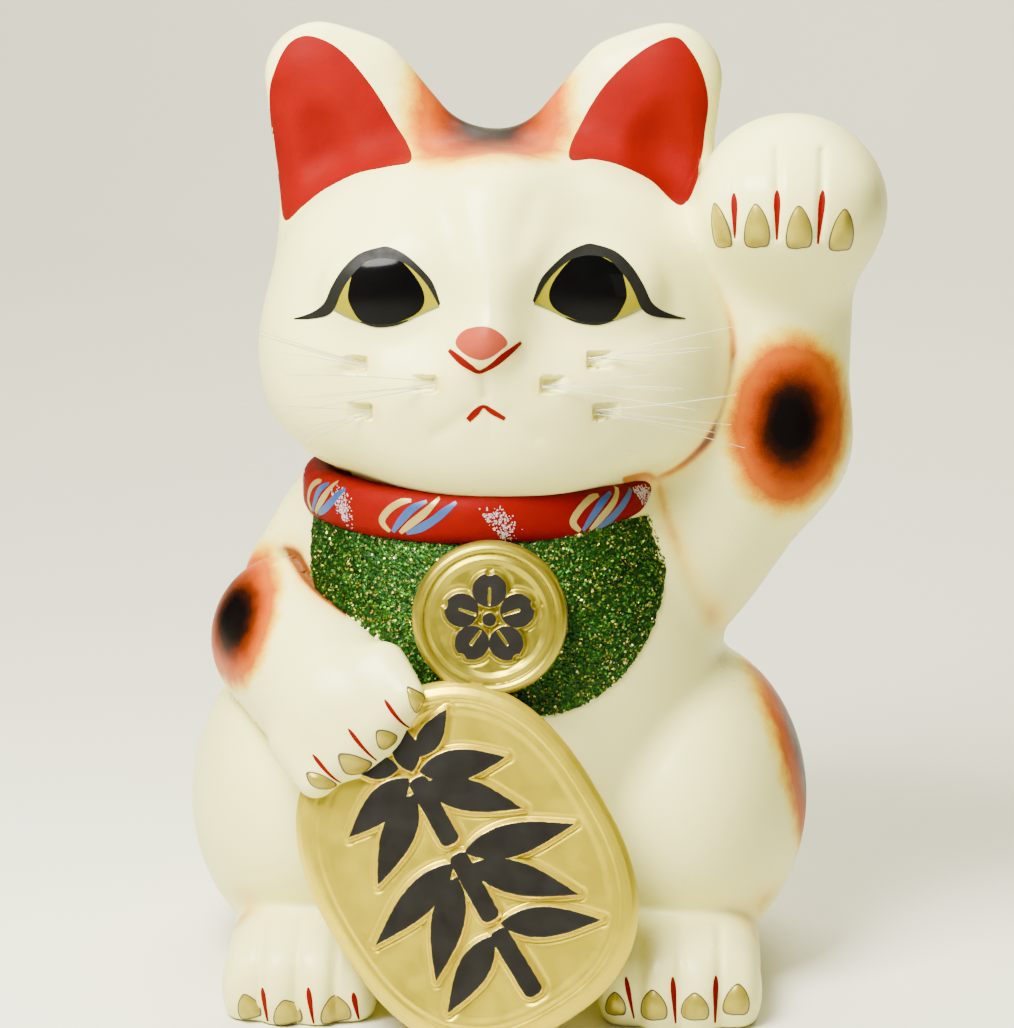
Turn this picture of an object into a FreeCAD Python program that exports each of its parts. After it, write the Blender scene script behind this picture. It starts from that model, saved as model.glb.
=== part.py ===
import FreeCAD, Part
import math
import os

# Beckoning cat coin bank in slip-cast pottery.
# Millimetres. +Z up, the cat looks along -Y, its raised arm is on +X.
# Origin: on the resting plane, in the cat's middle plane.

WALL = 4.5                  # thickness of the cast shell
LUTE_Z = 158.0              # level where the head casting is luted to the torso
BASE_T = 5.0                # thickness of the floor of the torso
GAP = 0.3                   # clearance round the rubber stopper

HOLE_X, HOLE_Y = 0.0, 34.0  # centre of the emptying hole in the base
HOLE_R = 15.0               # hole in the base
SINK_R = 20.0               # counterbore that hides the stopper's flange
SINK_DEPTH = 2.8
FLANGE_R = 18.6             # stopper flange
FLANGE_T = 1.6
PLUG_TOP = 12.0             # top of the stopper's plug
PLUG_R = HOLE_R - GAP

SLOT_LEN, SLOT_H = 36.0, 3.6  # coin slot in the back of the head
SLOT_Z = 226.0

KOBAN_C = (-6.1, -87.6, 54.6)   # centre of the gold coin plaque's front face
KOBAN_LEAN = 13.4               # degrees that the plaque leans back
KOBAN_TURN = 122.0              # degrees of its long axis from +X
KOBAN_A, KOBAN_B = 56.0, 46.0   # half length and half width
KOBAN_T = 9.0
PLAQUE_LIFT = 0.2               # the plaque's foot is ground off this far above the floor
MEDAL_C = (0.1, -68.5, 127.2)   # centre of the medallion's front face
MEDAL_LEAN = 8.0
MEDAL_R = 23.8
MEDAL_T = 6.0
COLLAR_Z = 155.0                # middle of the collar band
COLLAR_HALF = 8.5
COLLAR_T = 4.6
BIB_T = 0.8                     # thickness of the glued glitter
WHISKER_R = 0.2


# ---------------------------------------------------------------- shape functions
# Each function returns a signed distance: negative inside the clay.

def ball(c, r, power=2.0, turn=None):
    """Rounded block centred on c with half sizes r; turn is degrees about Y."""
    cx, cy, cz = c
    rx, ry, rz = r
    ct = math.cos(math.radians(turn)) if turn else 1.0
    st = math.sin(math.radians(turn)) if turn else 0.0

    def f(x, y, z):
        x -= cx
        y -= cy
        z -= cz
        if turn:
            x, z = ct * x - st * z, st * x + ct * z
        a, b, g = abs(x) / rx, abs(y) / ry, abs(z) / rz
        s = a ** power + b ** power + g ** power
        if s < 1e-12:
            return -min(rx, ry, rz)
        k = s ** (1.0 / power)
        q = k ** (1.0 - power)
        gx, gy, gz = a ** (power - 1) / rx * q, b ** (power - 1) / ry * q, g ** (power - 1) / rz * q
        return (k - 1.0) / math.sqrt(gx * gx + gy * gy + gz * gz)
    return f


def limb(a, b, ra, rb, flat=1.0):
    """Round cone from a (radius ra) to b (radius rb), flattened in y by flat."""
    ax, ay, az = a
    bx, by, bz = b[0] - ax, (b[1] - ay) / flat, b[2] - az
    l2 = bx * bx + by * by + bz * bz
    rr = ra - rb
    a2 = l2 - rr * rr
    sign = (rr > 0) - (rr < 0)

    def f(x, y, z):
        x, y, z = x - ax, (y - ay) / flat, z - az
        s = x * bx + y * by + z * bz
        t = s - l2
        tx, ty, tz = x * l2 - bx * s, y * l2 - by * s, z * l2 - bz * s
        x2 = tx * tx + ty * ty + tz * tz
        y2, z2 = s * s * l2, t * t * l2
        k = sign * rr * rr * x2
        if (t > 0) - (t < 0) and ((t > 0) - (t < 0)) * a2 * z2 > k:
            return flat * (math.sqrt(x2 + z2) / l2 - rb)
        if ((s > 0) - (s < 0)) * a2 * y2 < k:
            return flat * (math.sqrt(x2 + y2) / l2 - ra)
        return flat * ((math.sqrt(x2 * a2 / l2) + s * rr) / l2 - ra)
    return f


def blend(parts):
    """Union of (function, fillet) pairs, one after another."""
    def f(x, y, z):
        d = parts[0][0](x, y, z)
        for g, k in parts[1:]:
            e = g(x, y, z)
            h = max(k - abs(d - e), 0.0) / k
            d = min(d, e) - h * h * k * 0.25
        return d
    return f


def carve(f, g, k):
    """f with g scooped out, edge radius about k."""
    def h(x, y, z):
        a, b = f(x, y, z), -g(x, y, z)
        t = max(k - abs(a - b), 0.0) / k
        return max(a, b) + t * t * k * 0.25
    return h


def pair(f):
    """f and its mirror image in the middle plane."""
    return lambda x, y, z: f(abs(x), y, z)


def placed(f, side, shift=0.0):
    """f seen in a frame whose +X points outwards on the given side."""
    return lambda x, y, z: f(side * x + shift, y, z)


EAR = carve(blend([(limb((42, 5, 250), (56.5, 3, 284.5), 27.5, 17.3, 0.6), 0),
                   (limb((22, 6, 243), (45, 4, 280), 24, 18, 0.6), 3)]),
            ball((56, -33, 263), (23, 27, 37), turn=12), 2.5)
NECK = limb((0, 0, 140), (0, 0, 172), 54, 50, 0.9)
SKULL = carve(blend([(ball((0, 0, 213), (71.5, 60, 52.6), 2.45), 0),
                     (pair(ball((33, -10, 197), (41, 47, 35), 2.2)), 12),
                     (ball((0, -42, 182), (30, 21, 21)), 18),
                     (pair(ball((12, -53, 198), (17, 11, 11))), 14),
                     (limb((0, -42, 246), (0, -60, 217), 17, 11), 18),
                     (ball((0, -66, 213), (11.5, 8, 8)), 6)]),
              pair(ball((31, -76, 223), (22, 17, 17))), 14)
HEAD = blend([(SKULL, 0),
              (pair(ball((30.5, -48.5, 225.5), (20, 9.5, 14))), 7),
              (NECK, 4)])


def foot(half_width):
    """Hind foot with four toes, on the +X side."""
    parts = [(ball((59, -42, 10), (half_width, 38, 18.5), 3.2), 0)]
    for x in (-18.5, -6.2, 6.2, 18.5):
        c = (59 + x * half_width / 25, -73 + 0.012 * x * x, 9)
        parts.append((ball(c, (6.3, 10, 11.5)), 4))
    return blend(parts)


TORSO = blend([(ball((0, 6, 70), (72, 68, 84), 2.2), 0),
               (ball((0, -4, 118), (66, 56, 58)), 22),
               (NECK, 16),
               (ball((0, 8, 14), (66, 58, 22), 3.0), 10),
               (ball((-6, -46, 54), (40, 33, 46)), 12),
               (limb((-55, 10, 116), (-49, 12, 136), 29, 24), 10),
               (pair(ball((59, 2, 52), (41, 60, 51))), 7),
               (limb((0, 66, 16), (30, 68, 26), 12, 11.5), 5),
               (limb((30, 68, 26), (40, 61, 52), 11.5, 10), 5)])

raised_parts = [(limb((90, -10, 230), (81, -3, 172), 21.5, 29.5), 0),
                (limb((81, -3, 172), (60, -1, 136), 29.5, 27), 8),
                (ball((91, -23, 248), (29.5, 29, 28.5)), 12)]
for x in (-20, -6.8, 6.8, 20):
    bow = 0.012 * x * x
    raised_parts.append((limb((91 + 0.95 * x, -41 + bow, 257 - bow),
                              (91 + x, -48 + bow, 247), 8.2, 7.2), 6))
RAISED = blend(raised_parts)

lowered_parts = [(limb((-64, -14, 107), (-48, -58, 98), 27.5, 23), 0),
                 (ball((-42, -68, 95), (22, 18, 20), turn=-35), 8)]
for t in (-1.5, -0.5, 0.5, 1.5):
    tip = (-38.5 + 9.2 * t, -80 + 1.0 * t, 92.5 + 8.6 * t)
    root = (tip[0] - 7, tip[1] + 7, tip[2] + 8)
    lowered_parts.append((limb(root, tip, 7.0, 6.0), 4))
LOWERED = blend(lowered_parts)


# ---------------------------------------------------------------- lofting helpers

def reach(f, c, d, level, far):
    """Distance from c along d to where f crosses level."""
    lo, step = 0.0, 3.0
    hi = step
    while hi < far and f(c[0] + d[0] * hi, c[1] + d[1] * hi, c[2] + d[2] * hi) < level:
        lo = hi
        hi += step
    for _ in range(14):
        mid = 0.5 * (lo + hi)
        if f(c[0] + d[0] * mid, c[1] + d[1] * mid, c[2] + d[2] * mid) < level:
            lo = mid
        else:
            hi = mid
    return lo


def skin(rows):
    """Closed solid over rings of points: smooth sides, flat ends."""
    poles = []
    count = len(rows[0])
    for i in range(count):
        line = []
        for row in rows:
            a, b, c = row[i - 1], row[i], row[(i + 1) % count]
            line.append(b + (b * 2 - a - c) * (1.0 / 6.0))
        poles.append(line)
    n = len(rows)
    side = Part.BSplineSurface()
    v_mults = [4] + [1] * (n - 4) + [4]
    v_knots = [float(i) for i in range(n - 2)]
    side.buildFromPolesMultsKnots(poles, [1] * (count + 1), v_mults,
                                  [float(i) for i in range(count + 1)], v_knots, True, False, 3, 3)
    wall = side.toShape()
    faces = [wall]
    ends = [e for e in wall.Edges if e.isClosed() and e.BoundBox.ZLength + e.BoundBox.YLength
            + e.BoundBox.XLength > 0.01]
    for row in (rows[0], rows[-1]):
        ring = min(ends, key=lambda e: abs(e.CenterOfMass.distanceToPoint(middle(row))))
        faces.append(Part.Face(Part.Wire([ring])))
    shell = Part.makeShell(faces)
    shell.sewShape()
    solid = Part.makeSolid(Part.Shell(shell.Faces))
    if solid.Volume < 0:
        solid.reverse()
    return solid


def middle(row):
    total = FreeCAD.Vector(0, 0, 0)
    for p in row:
        total += p
    return total * (1.0 / len(row))


def ring(f, c, e1, e2, count, level=0.0, far=140.0):
    row = []
    for i in range(count):
        a = 2 * math.pi * i / count
        d = tuple(math.cos(a) * e1[k] + math.sin(a) * e2[k] for k in range(3))
        r = reach(f, c, d, level, far)
        row.append(FreeCAD.Vector(c[0] + d[0] * r, c[1] + d[1] * r, c[2] + d[2] * r))
    return row


def spaced(low, high, count, ease_low, ease_high):
    """Levels between low and high, closer together at the eased ends."""
    out = []
    for i in range(count):
        t = i / (count - 1)
        if ease_low and ease_high:
            t = 0.5 - 0.5 * math.cos(math.pi * t)
        elif ease_high:
            t = math.sin(0.5 * math.pi * t)
        elif ease_low:
            t = 1.0 - math.cos(0.5 * math.pi * t)
        out.append(low + (high - low) * t)
    return out


def rise(f, xy, start, level=0.0):
    """Height where f reaches level straight above start."""
    return start + reach(f, (xy[0], xy[1], start), (0, 0, 1), level, 200.0)


def upright(f, centre_of, levels, count, level=0.0):
    """Solid from horizontal rings of f round the moving centre."""
    rows = []
    for z in levels:
        cx, cy = centre_of(z)
        rows.append(ring(f, (cx, cy, z), (1, 0, 0), (0, 1, 0), count, level))
    return skin(rows)


def between(table):
    """Straight-line interpolation through (z, x, y) rows."""
    def f(z):
        for (z0, x0, y0), (z1, x1, y1) in zip(table, table[1:]):
            if z <= z1:
                break
        t = min(max((z - z0) / (z1 - z0), 0.0), 1.0)
        return x0 + t * (x1 - x0), y0 + t * (y1 - y0)
    return f


def save(name, shape):
    solids = [s for s in shape.Solids if s.Volume > 0.5]
    out = solids[0] if len(solids) == 1 else Part.makeCompound(solids)
    print(name, len(solids), round(out.Volume), out.isValid(),
          [round(v, 1) for v in (out.BoundBox.XMin, out.BoundBox.XMax, out.BoundBox.YMin,
                                 out.BoundBox.YMax, out.BoundBox.ZMin, out.BoundBox.ZMax)])
    out.exportStep("parts/%s.step" % name)


def cylinder(r, h, base, axis=(0, 0, 1)):
    return Part.makeCylinder(r, h, FreeCAD.Vector(*base), FreeCAD.Vector(*axis))


os.makedirs("parts", exist_ok=True)

# ---------------------------------------------------------------- torso casting
torso_centre = between([(0, 0, 6), (60, 0, 6), (158, 0, 0)])
torso_outer = upright(TORSO, torso_centre, spaced(0.0, LUTE_Z, 34, False, False), 88)
torso_hollow = upright(TORSO, torso_centre, spaced(BASE_T, LUTE_Z + 1.0, 24, True, False), 56, -WALL)
feet = [upright(placed(foot(w), side), lambda z, s=side: (s * 59, -46),
                spaced(0.0, 27.9, 12, False, True), 64) for side, w in ((1, 25.5), (-1, 24.0))]
for f in feet:
    torso_outer = torso_outer.fuse(f)

# ---------------------------------------------------------------- head casting
crown = rise(HEAD, (0, 2), 213)
head_centre = between([(158, 0, -2), (180, 0, -6), (235, 0, -2), (266, 0, 2)])
head_outer = upright(HEAD, head_centre, spaced(LUTE_Z, crown - 0.15, 36, False, True), 88)
head_hollow = upright(HEAD, head_centre, spaced(LUTE_Z - 1.0, crown - WALL - 0.3, 24, False, True),
                      56, -WALL)
for side, shift in ((1, 4.0), (-1, 0.0)):
    ear_field = placed(EAR, side, shift)
    centre_x = between([(236, 44, 6), (262, 47, 7), (302, 56, 3.5)])

    def ear_centre(z, s=side, k=shift):
        x, y = centre_x(z)
        return s * (x - k), y
    tip = rise(ear_field, (side * (56.0 - shift), 3.0), 284)
    head_outer = head_outer.fuse(upright(ear_field, ear_centre,
                                         spaced(240.0, tip - 0.1, 20, False, True), 44))

# ---------------------------------------------------------------- arm castings
raised_centre = between([(112, 58, -1), (136, 62, -1), (172, 81, -3), (228, 90, -10), (248, 91, -22),
                         (276, 91, -23)])
raised_low = 136 - 24.0
raised_top = rise(RAISED, (91, -23), 248)
raised_outer = upright(RAISED, raised_centre, spaced(raised_low, raised_top - 0.1, 36, True, True), 64)
raised_hollow = upright(RAISED, raised_centre,
                        spaced(raised_low + WALL, raised_top - WALL - 0.2, 22, True, True), 32, -WALL)

lowered_rows = []
lowered_void = []
FRONT_Y, BACK_Y = -84.5, 8.0
for level, rows, n, count in ((0.0, lowered_rows, 26, 48), (-WALL, lowered_void, 16, 28)):
    for y in spaced(BACK_Y - abs(level), FRONT_Y + abs(level) * 1.2, n, False, True):
        t = min(max((y + 14) / (-58.0 + 14), 0.0), 1.0)
        c = (-64 + 16 * t + max(0, -58 - y) * 0.22, y, 107 - 9 * t - max(0, -58 - y) * 0.12)
        rows.append(ring(LOWERED, c, (1, 0, 0), (0, 0, 1), count, level))
lowered_outer = skin(lowered_rows)
lowered_hollow = skin(lowered_void)


# ---------------------------------------------------------------- front pieces

def frame_solid(shape, origin, lean, turn=0.0):
    """Stand a shape drawn in XY (face towards +Z) up, facing -Y and leaning back."""
    shape = shape.copy()
    shape.rotate(FreeCAD.Vector(0, 0, 0), FreeCAD.Vector(0, 0, 1), turn)
    shape.rotate(FreeCAD.Vector(0, 0, 0), FreeCAD.Vector(1, 0, 0), 90.0 - lean)
    shape.translate(FreeCAD.Vector(*origin))
    return shape


def oval_row(a, b, power, z, count=56):
    """Ring of an oval with half axes a (along X) and b, at height z."""
    row = []
    for i in range(count):
        t = 2 * math.pi * i / count
        c, s = math.cos(t), math.sin(t)
        k = (abs(c / a) ** power + abs(s / b) ** power) ** (-1.0 / power)
        row.append(FreeCAD.Vector(k * c, k * s, z))
    return row


def leaf(start, end, half, low, high):
    """Pointed leaf between two points of the XY plane, from height low to high."""
    sx, sy = start
    dx, dy = end[0] - sx, end[1] - sy
    length = math.hypot(dx, dy)
    nx, ny = -dy / length, dx / length
    edges = []
    for side in (1.0, -1.0):
        pts = []
        for i in range(7):
            t = i / 6.0
            w = side * half * math.sin(math.pi * t ** 0.75)
            pts.append(FreeCAD.Vector(sx + dx * t + nx * w, sy + dy * t + ny * w, low))
        curve = Part.BSplineCurve()
        curve.interpolate(pts if side > 0 else pts[::-1])
        edges.append(curve.toShape())
    return Part.Face(Part.Wire(edges)).extrude(FreeCAD.Vector(0, 0, high - low))


def bar(start, end, half, low, high):
    """Straight joint of the cane with rounded ends."""
    sx, sy = start
    ex, ey = end
    angle = math.degrees(math.atan2(ey - sy, ex - sx))
    length = math.hypot(ex - sx, ey - sy)
    body = Part.makeBox(length, 2 * half, high - low, FreeCAD.Vector(0, -half, low))
    body = body.makeFillet(half * 0.8, [e for e in body.Edges
                                        if abs(e.BoundBox.ZLength - (high - low)) < 1e-6])
    body.rotate(FreeCAD.Vector(0, 0, 0), FreeCAD.Vector(0, 0, 1), angle)
    body.translate(FreeCAD.Vector(sx, sy, 0))
    return body


# bamboo spray on the plaque: (along the length, across) start and end, half width
LEAVES = (((32, -3), (22, -28), 5.2), ((28, -2), (6, -24), 5.2), ((4, -2), (-6, -35), 5.4),
          ((0, -1), (-25, -25), 5.4), ((-20, 0), (-35, -27), 5.0),
          ((32, 1), (26, 26), 5.2), ((27, 2), (9, 26), 5.4), ((3, 3), (-6, 36), 5.2),
          ((-1, 4), (-25, 26), 5.4), ((-22, 4), (-35, 28), 5.0),
          ((33, -1), (49, -5), 4.4), ((36, -5), (44, -20), 4.0), ((36, 2), (45, 15), 4.0))
CANE = (((-44, 2), (-21, 2)), ((-18, 1.5), (5, 0.5)), ((8, 0), (31, -1)))
CANE_HALF = 3.2

rows = [oval_row(KOBAN_A * s, KOBAN_B * s, 2.5, z) for s, z in
        ((0.955, -KOBAN_T), (0.98, -KOBAN_T + 0.4), (1.0, -KOBAN_T + 2.0), (1.0, -4.2), (0.99, -2.4),
         (0.965, -1.0), (0.93, -0.25), (0.89, 0.0))]
plaque = skin(rows)
for (l0, w0), (l1, w1), half in LEAVES:
    plaque = plaque.fuse(leaf((l0, w0), (l1, w1), half, -1.5, 1.5))
for start, end in CANE:
    plaque = plaque.fuse(bar(start, end, CANE_HALF, -1.5, 1.5))
plaque = frame_solid(plaque, KOBAN_C, KOBAN_LEAN, KOBAN_TURN)

medal = cylinder(MEDAL_R, MEDAL_T + 4.0, (0, 0, -MEDAL_T - 4.0))
medal = medal.makeFillet(1.5, [e for e in medal.Edges if abs(e.CenterOfMass.z) < 1e-6])
for radius, thick in ((MEDAL_R - 2.4, 1.5), (MEDAL_R - 5.6, 0.9)):
    medal = medal.fuse(Part.makeTorus(radius, thick, FreeCAD.Vector(0, 0, 0)))
for i in range(5):
    a = math.radians(90 + 72 * i)
    petal = cylinder(5.6, 2.4, (8.9 * math.cos(a), 8.9 * math.sin(a), -1.0))
    medal = medal.fuse(petal)
medal = medal.fuse(cylinder(2.5, 2.4, (0, 0, -1.0)))
medal = frame_solid(medal, MEDAL_C, MEDAL_LEAN)

# ---------------------------------------------------------------- collar band
COLLAR_X, COLLAR_Y = -3.5, -1.0
COLLAR_RX, COLLAR_RY = 59.3, 57.0     # outside half axes
COLLAR_DEEP = 7.0                     # half the band's depth before it is fitted to the neck


def tube(rings):
    """Closed ring-shaped solid over rings of points."""
    surface = Part.BSplineSurface()
    nu, nv = len(rings), len(rings[0])
    surface.buildFromPolesMultsKnots(rings, [1] * (nu + 1), [1] * (nv + 1),
                                     [float(i) for i in range(nu + 1)],
                                     [float(i) for i in range(nv + 1)], True, True, 3, 3)
    solid = Part.makeSolid(Part.makeShell([surface.toShape()]))
    if solid.Volume < 0:
        solid.reverse()
    return solid


rings = []
for i in range(48):
    a = 2 * math.pi * i / 48
    ring_pts = []
    for j in range(20):
        b = 2 * math.pi * j / 20
        c, s = math.cos(b), math.sin(b)
        k = (abs(c) ** 3.2 + abs(s) ** 3.2) ** (-1.0 / 3.2)
        inset = COLLAR_DEEP * (1.0 - k * c)
        ring_pts.append(FreeCAD.Vector(COLLAR_X + (COLLAR_RX - inset) * math.cos(a),
                                       COLLAR_Y + (COLLAR_RY - inset) * math.sin(a),
                                       COLLAR_Z + COLLAR_HALF * k * s))
    rings.append(ring_pts)
collar = tube(rings)

# ---------------------------------------------------------------- glitter bib
# half outline seen from the front: x, z
BIB = ((-58, 152), (-57, 132), (-49, 113), (-35, 101), (-18, 96.5), (-4, 100), (6, 98.5), (17, 95.5),
       (30, 99), (43, 109), (52, 127), (54, 152))
curve = Part.BSplineCurve()
curve.interpolate([FreeCAD.Vector(x, -90, z) for x, z in BIB])
top_edge = Part.makeLine(FreeCAD.Vector(54, -90, 152), FreeCAD.Vector(-58, -90, 152))
bib_prism = Part.Face(Part.Wire([curve.toShape(), top_edge])).extrude(FreeCAD.Vector(0, 88, 0))
bib_outer = upright(TORSO, torso_centre, spaced(90.0, 154.0, 18, False, False), 88, BIB_T)

# ---------------------------------------------------------------- whiskers
WHISKERS = {
    "whiskers_left_upper": ((-37.8, -58.3, 203.2), ((-82, -68, 220), (-71, -65, 214), (-64, -58, 207))),
    "whiskers_left_inner": ((-16.1, -66.7, 199.0), ((-60, -80, 204), (-63, -76, 191), (-52, -79, 197))),
    "whiskers_left_lower": ((-36.2, -58.3, 189.0), ((-83, -66, 193), (-73, -63, 173), (-63, -66, 181))),
    "whiskers_right_upper": ((29.7, -59.8, 205.5), ((73, -70, 218), (63, -66, 210), (60, -61, 204))),
    "whiskers_right_inner": ((15.7, -66.8, 199.1), ((58, -80, 201), (62, -77, 194), (50, -79, 205))),
    "whiskers_right_lower": ((31.4, -60.8, 190.0), ((74, -68, 197), (68, -66, 185), (77, -64, 180))),
}
PIT_R, PIT_L = 1.8, 7.0


def hair(root, tip):
    """One straight whisker filament whose root is sunk 1.2 mm into the pit's end."""
    d = FreeCAD.Vector(*tip) - FreeCAD.Vector(*root)
    length = d.Length
    d.normalize()
    start = FreeCAD.Vector(*root) - d * 1.2
    return Part.makeCylinder(WHISKER_R, length + 1.2, start, d)


pits = []
tufts = {}
for name, (root, tips) in WHISKERS.items():
    side = 1.0 if root[0] > 0 else -1.0
    inner = (root[0] - side * 0.8, root[1] + 2.2, root[2])
    pits.append(cylinder(PIT_R, PIT_L, inner, (side * 0.9, -0.5, 0.0)))
    hairs = []
    for i, tip in enumerate(tips):
        offset = (i - 1) * 0.9
        hairs.append(hair((inner[0] + side * 0.4, inner[1] + 0.2, inner[2] + offset), tip))
    tufts[name] = Part.makeCompound(hairs)

# ---------------------------------------------------------------- rubber stopper
stopper = cylinder(FLANGE_R, FLANGE_T, (HOLE_X, HOLE_Y, SINK_DEPTH - GAP - FLANGE_T))
stopper = stopper.fuse(cylinder(PLUG_R, PLUG_TOP - SINK_DEPTH + GAP, (HOLE_X, HOLE_Y, SINK_DEPTH - GAP)))
stopper = stopper.removeSplitter()

# ---------------------------------------------------------------- fitting the castings
torso = torso_outer.cut(torso_hollow)
torso = torso.cut(cylinder(HOLE_R, BASE_T + 4.0, (HOLE_X, HOLE_Y, -1.0)))
torso = torso.cut(cylinder(SINK_R, SINK_DEPTH + 1.0, (HOLE_X, HOLE_Y, -1.0)))

slot = Part.makeBox(SLOT_LEN, 40.0, SLOT_H, FreeCAD.Vector(-SLOT_LEN / 2, 35.0, SLOT_Z - SLOT_H / 2))
head = head_outer.cut(head_hollow).cut(slot)
for pit in pits:
    head = head.cut(pit)
for tuft in tufts.values():
    head = head.cut(tuft)

raised = raised_outer.cut(raised_hollow).cut(torso_outer).cut(head_outer)
lowered = lowered_outer.cut(lowered_hollow).cut(torso_outer)
medallion = medal.cut(torso_outer)
collar = collar.cut(torso_outer).cut(head_outer).cut(raised_outer).cut(medallion)
bib = bib_outer.common(bib_prism).cut(torso_outer).cut(medallion).cut(lowered_outer).cut(raised_outer)
bib = bib.cut(collar)
under = Part.makeBox(300, 300, 20, FreeCAD.Vector(-150, -200, -20 + PLAQUE_LIFT))
coin_plaque = plaque.cut(torso_outer).cut(lowered_outer).cut(medallion).cut(under)

save("torso_casting", torso)
save("head_casting", head)
save("raised_arm", raised)
save("lowered_arm", lowered)
save("coin_plaque", coin_plaque)
save("medallion", medallion)
save("collar_band", collar)
save("glitter_bib", bib)
for name, tuft in tufts.items():
    save(name, tuft)
save("base_stopper", stopper)
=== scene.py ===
import math
import bpy
import numpy as np
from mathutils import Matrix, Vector


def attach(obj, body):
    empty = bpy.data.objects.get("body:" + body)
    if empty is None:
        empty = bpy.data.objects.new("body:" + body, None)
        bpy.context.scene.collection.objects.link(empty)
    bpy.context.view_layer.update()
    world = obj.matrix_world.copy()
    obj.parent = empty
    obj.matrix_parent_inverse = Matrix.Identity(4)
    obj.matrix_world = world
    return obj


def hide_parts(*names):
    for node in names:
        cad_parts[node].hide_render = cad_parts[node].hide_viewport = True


# Beckoning cat coin bank. Shapes are worked out in millimetres and stored in metres.

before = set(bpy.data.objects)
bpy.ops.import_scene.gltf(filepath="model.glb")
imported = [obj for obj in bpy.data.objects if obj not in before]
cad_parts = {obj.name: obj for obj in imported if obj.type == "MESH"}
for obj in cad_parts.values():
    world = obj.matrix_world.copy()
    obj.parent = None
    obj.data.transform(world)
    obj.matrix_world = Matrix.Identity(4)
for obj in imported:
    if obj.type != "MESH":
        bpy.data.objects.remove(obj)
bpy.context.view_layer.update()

MM = 0.001
SCENE = bpy.context.scene
COARSE = 3.0            # first sampling step of the clay surface
PAINT_LIFT = 0.12       # painted shapes stand this far off the clay
RIM_DEPTH = 4.0         # how far a skin's open rim turns in before it is closed


def unit(v):
    """Vectors of length 1."""
    return v / np.maximum(np.linalg.norm(v, axis=-1, keepdims=True), 1e-6)


def rotation(turn):
    """Matrix for degrees about X, then Y, then Z."""
    ax, ay, az = (math.radians(a) for a in turn)
    rx = np.array([[1, 0, 0], [0, math.cos(ax), -math.sin(ax)], [0, math.sin(ax), math.cos(ax)]])
    ry = np.array([[math.cos(ay), 0, math.sin(ay)], [0, 1, 0], [-math.sin(ay), 0, math.cos(ay)]])
    rz = np.array([[math.cos(az), -math.sin(az), 0], [math.sin(az), math.cos(az), 0], [0, 0, 1]])
    return rz @ ry @ rx


# ------------------------------------------------------------------ distance functions
# Each takes an (n, 3) array and gives n signed distances, negative inside the clay.

def ball(p, c, r, power=2.0, turn=None):
    """Rounded block with centre c and half sizes r."""
    q = p - np.array(c, float)
    if turn:
        q = q @ rotation(turn)
    r = np.array(r, float)
    a = np.abs(q) / r
    k = (a ** power).sum(1) ** (1 / power) + 1e-9
    g = (a ** (power - 1)) / r * (k ** (1 - power))[:, None]
    return (k - 1) / np.maximum(np.sqrt((g * g).sum(1)), 1e-9)


def limb(p, a, b, ra, rb, flat=1.0):
    """Round cone from a (radius ra) to b (radius rb), flattened in y by flat."""
    a = np.array(a, float)
    squeeze = np.array([1, 1 / flat, 1])
    pa = (p - a) * squeeze
    ba = (np.array(b, float) - a) * squeeze
    l2 = ba @ ba
    rr = ra - rb
    a2 = l2 - rr * rr
    s = pa @ ba
    t = s - l2
    across = pa * l2 - s[:, None] * ba
    x2 = (across * across).sum(1)
    y2 = s * s * l2
    z2 = t * t * l2
    k = np.sign(rr) * rr * rr * x2
    side = (np.sqrt(x2 * a2 / l2) + s * rr) / l2 - ra
    far = np.sign(t) * a2 * z2 > k
    near = ~far & (np.sign(s) * a2 * y2 < k)
    side[far] = np.sqrt(x2[far] + z2[far]) / l2 - rb
    side[near] = np.sqrt(x2[near] + y2[near]) / l2 - ra
    return side * flat


def join(a, b, k):
    """Union with a fillet of size k."""
    h = np.maximum(k - np.abs(a - b), 0) / k
    return np.minimum(a, b) - h * h * k * 0.25


def carve(a, b, k):
    """Material a with b taken away, edges eased by k."""
    return -join(-a, b, k)


def pair(p):
    """Points folded onto the +X side, so that one shape serves both."""
    q = p.copy()
    q[:, 0] = np.abs(q[:, 0])
    return q


# grooves beside the mouth and on the brow: two ends in the front view, width, depth
FURROWS = (((-1.6, 204), (-1.2, 196), 1.6, 0.5), ((-6, 190), (-16, 183), 3.0, 0.5),
           ((6, 190), (14, 183), 3.0, 0.5), ((-9, 240), (-13, 252), 4.0, 0.7),
           ((8, 240), (12, 252), 4.0, 0.7))
# four toes to a paw, counted from its middle
TOES = (-1.5, -0.5, 0.5, 1.5)
# where each tuft of whiskers leaves the face
PITS = {
    "left_upper": (-37.8, -58.3, 203.2),
    "left_inner": (-16.1, -66.7, 199.0),
    "left_lower": (-36.2, -58.3, 189.0),
    "right_upper": (29.7, -59.8, 205.5),
    "right_inner": (15.7, -66.8, 199.1),
    "right_lower": (31.4, -60.8, 190.0),
}


def bump(x, middle, width):
    """1 at the middle, fading to 0 over the width."""
    return np.exp(-((x - middle) / width) ** 2)


def ramp(x, low, high):
    """0 below low, 1 above high, eased between."""
    t = np.clip((x - low) / (high - low), 0, 1)
    return t * t * (3 - 2 * t)


def furrow(p, a, b, width, depth):
    """Soft groove along the segment a-b of the front view (x, z), pressed into the clay."""
    a, b = np.array(a, float), np.array(b, float)
    q = p[:, [0, 2]] - a
    ab = b - a
    t = np.clip(q @ ab / (ab @ ab), 0, 1)
    away = np.linalg.norm(q - t[:, None] * ab, axis=1)
    return depth * bump(away, 0, width) * (p[:, 1] < 0)


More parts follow.
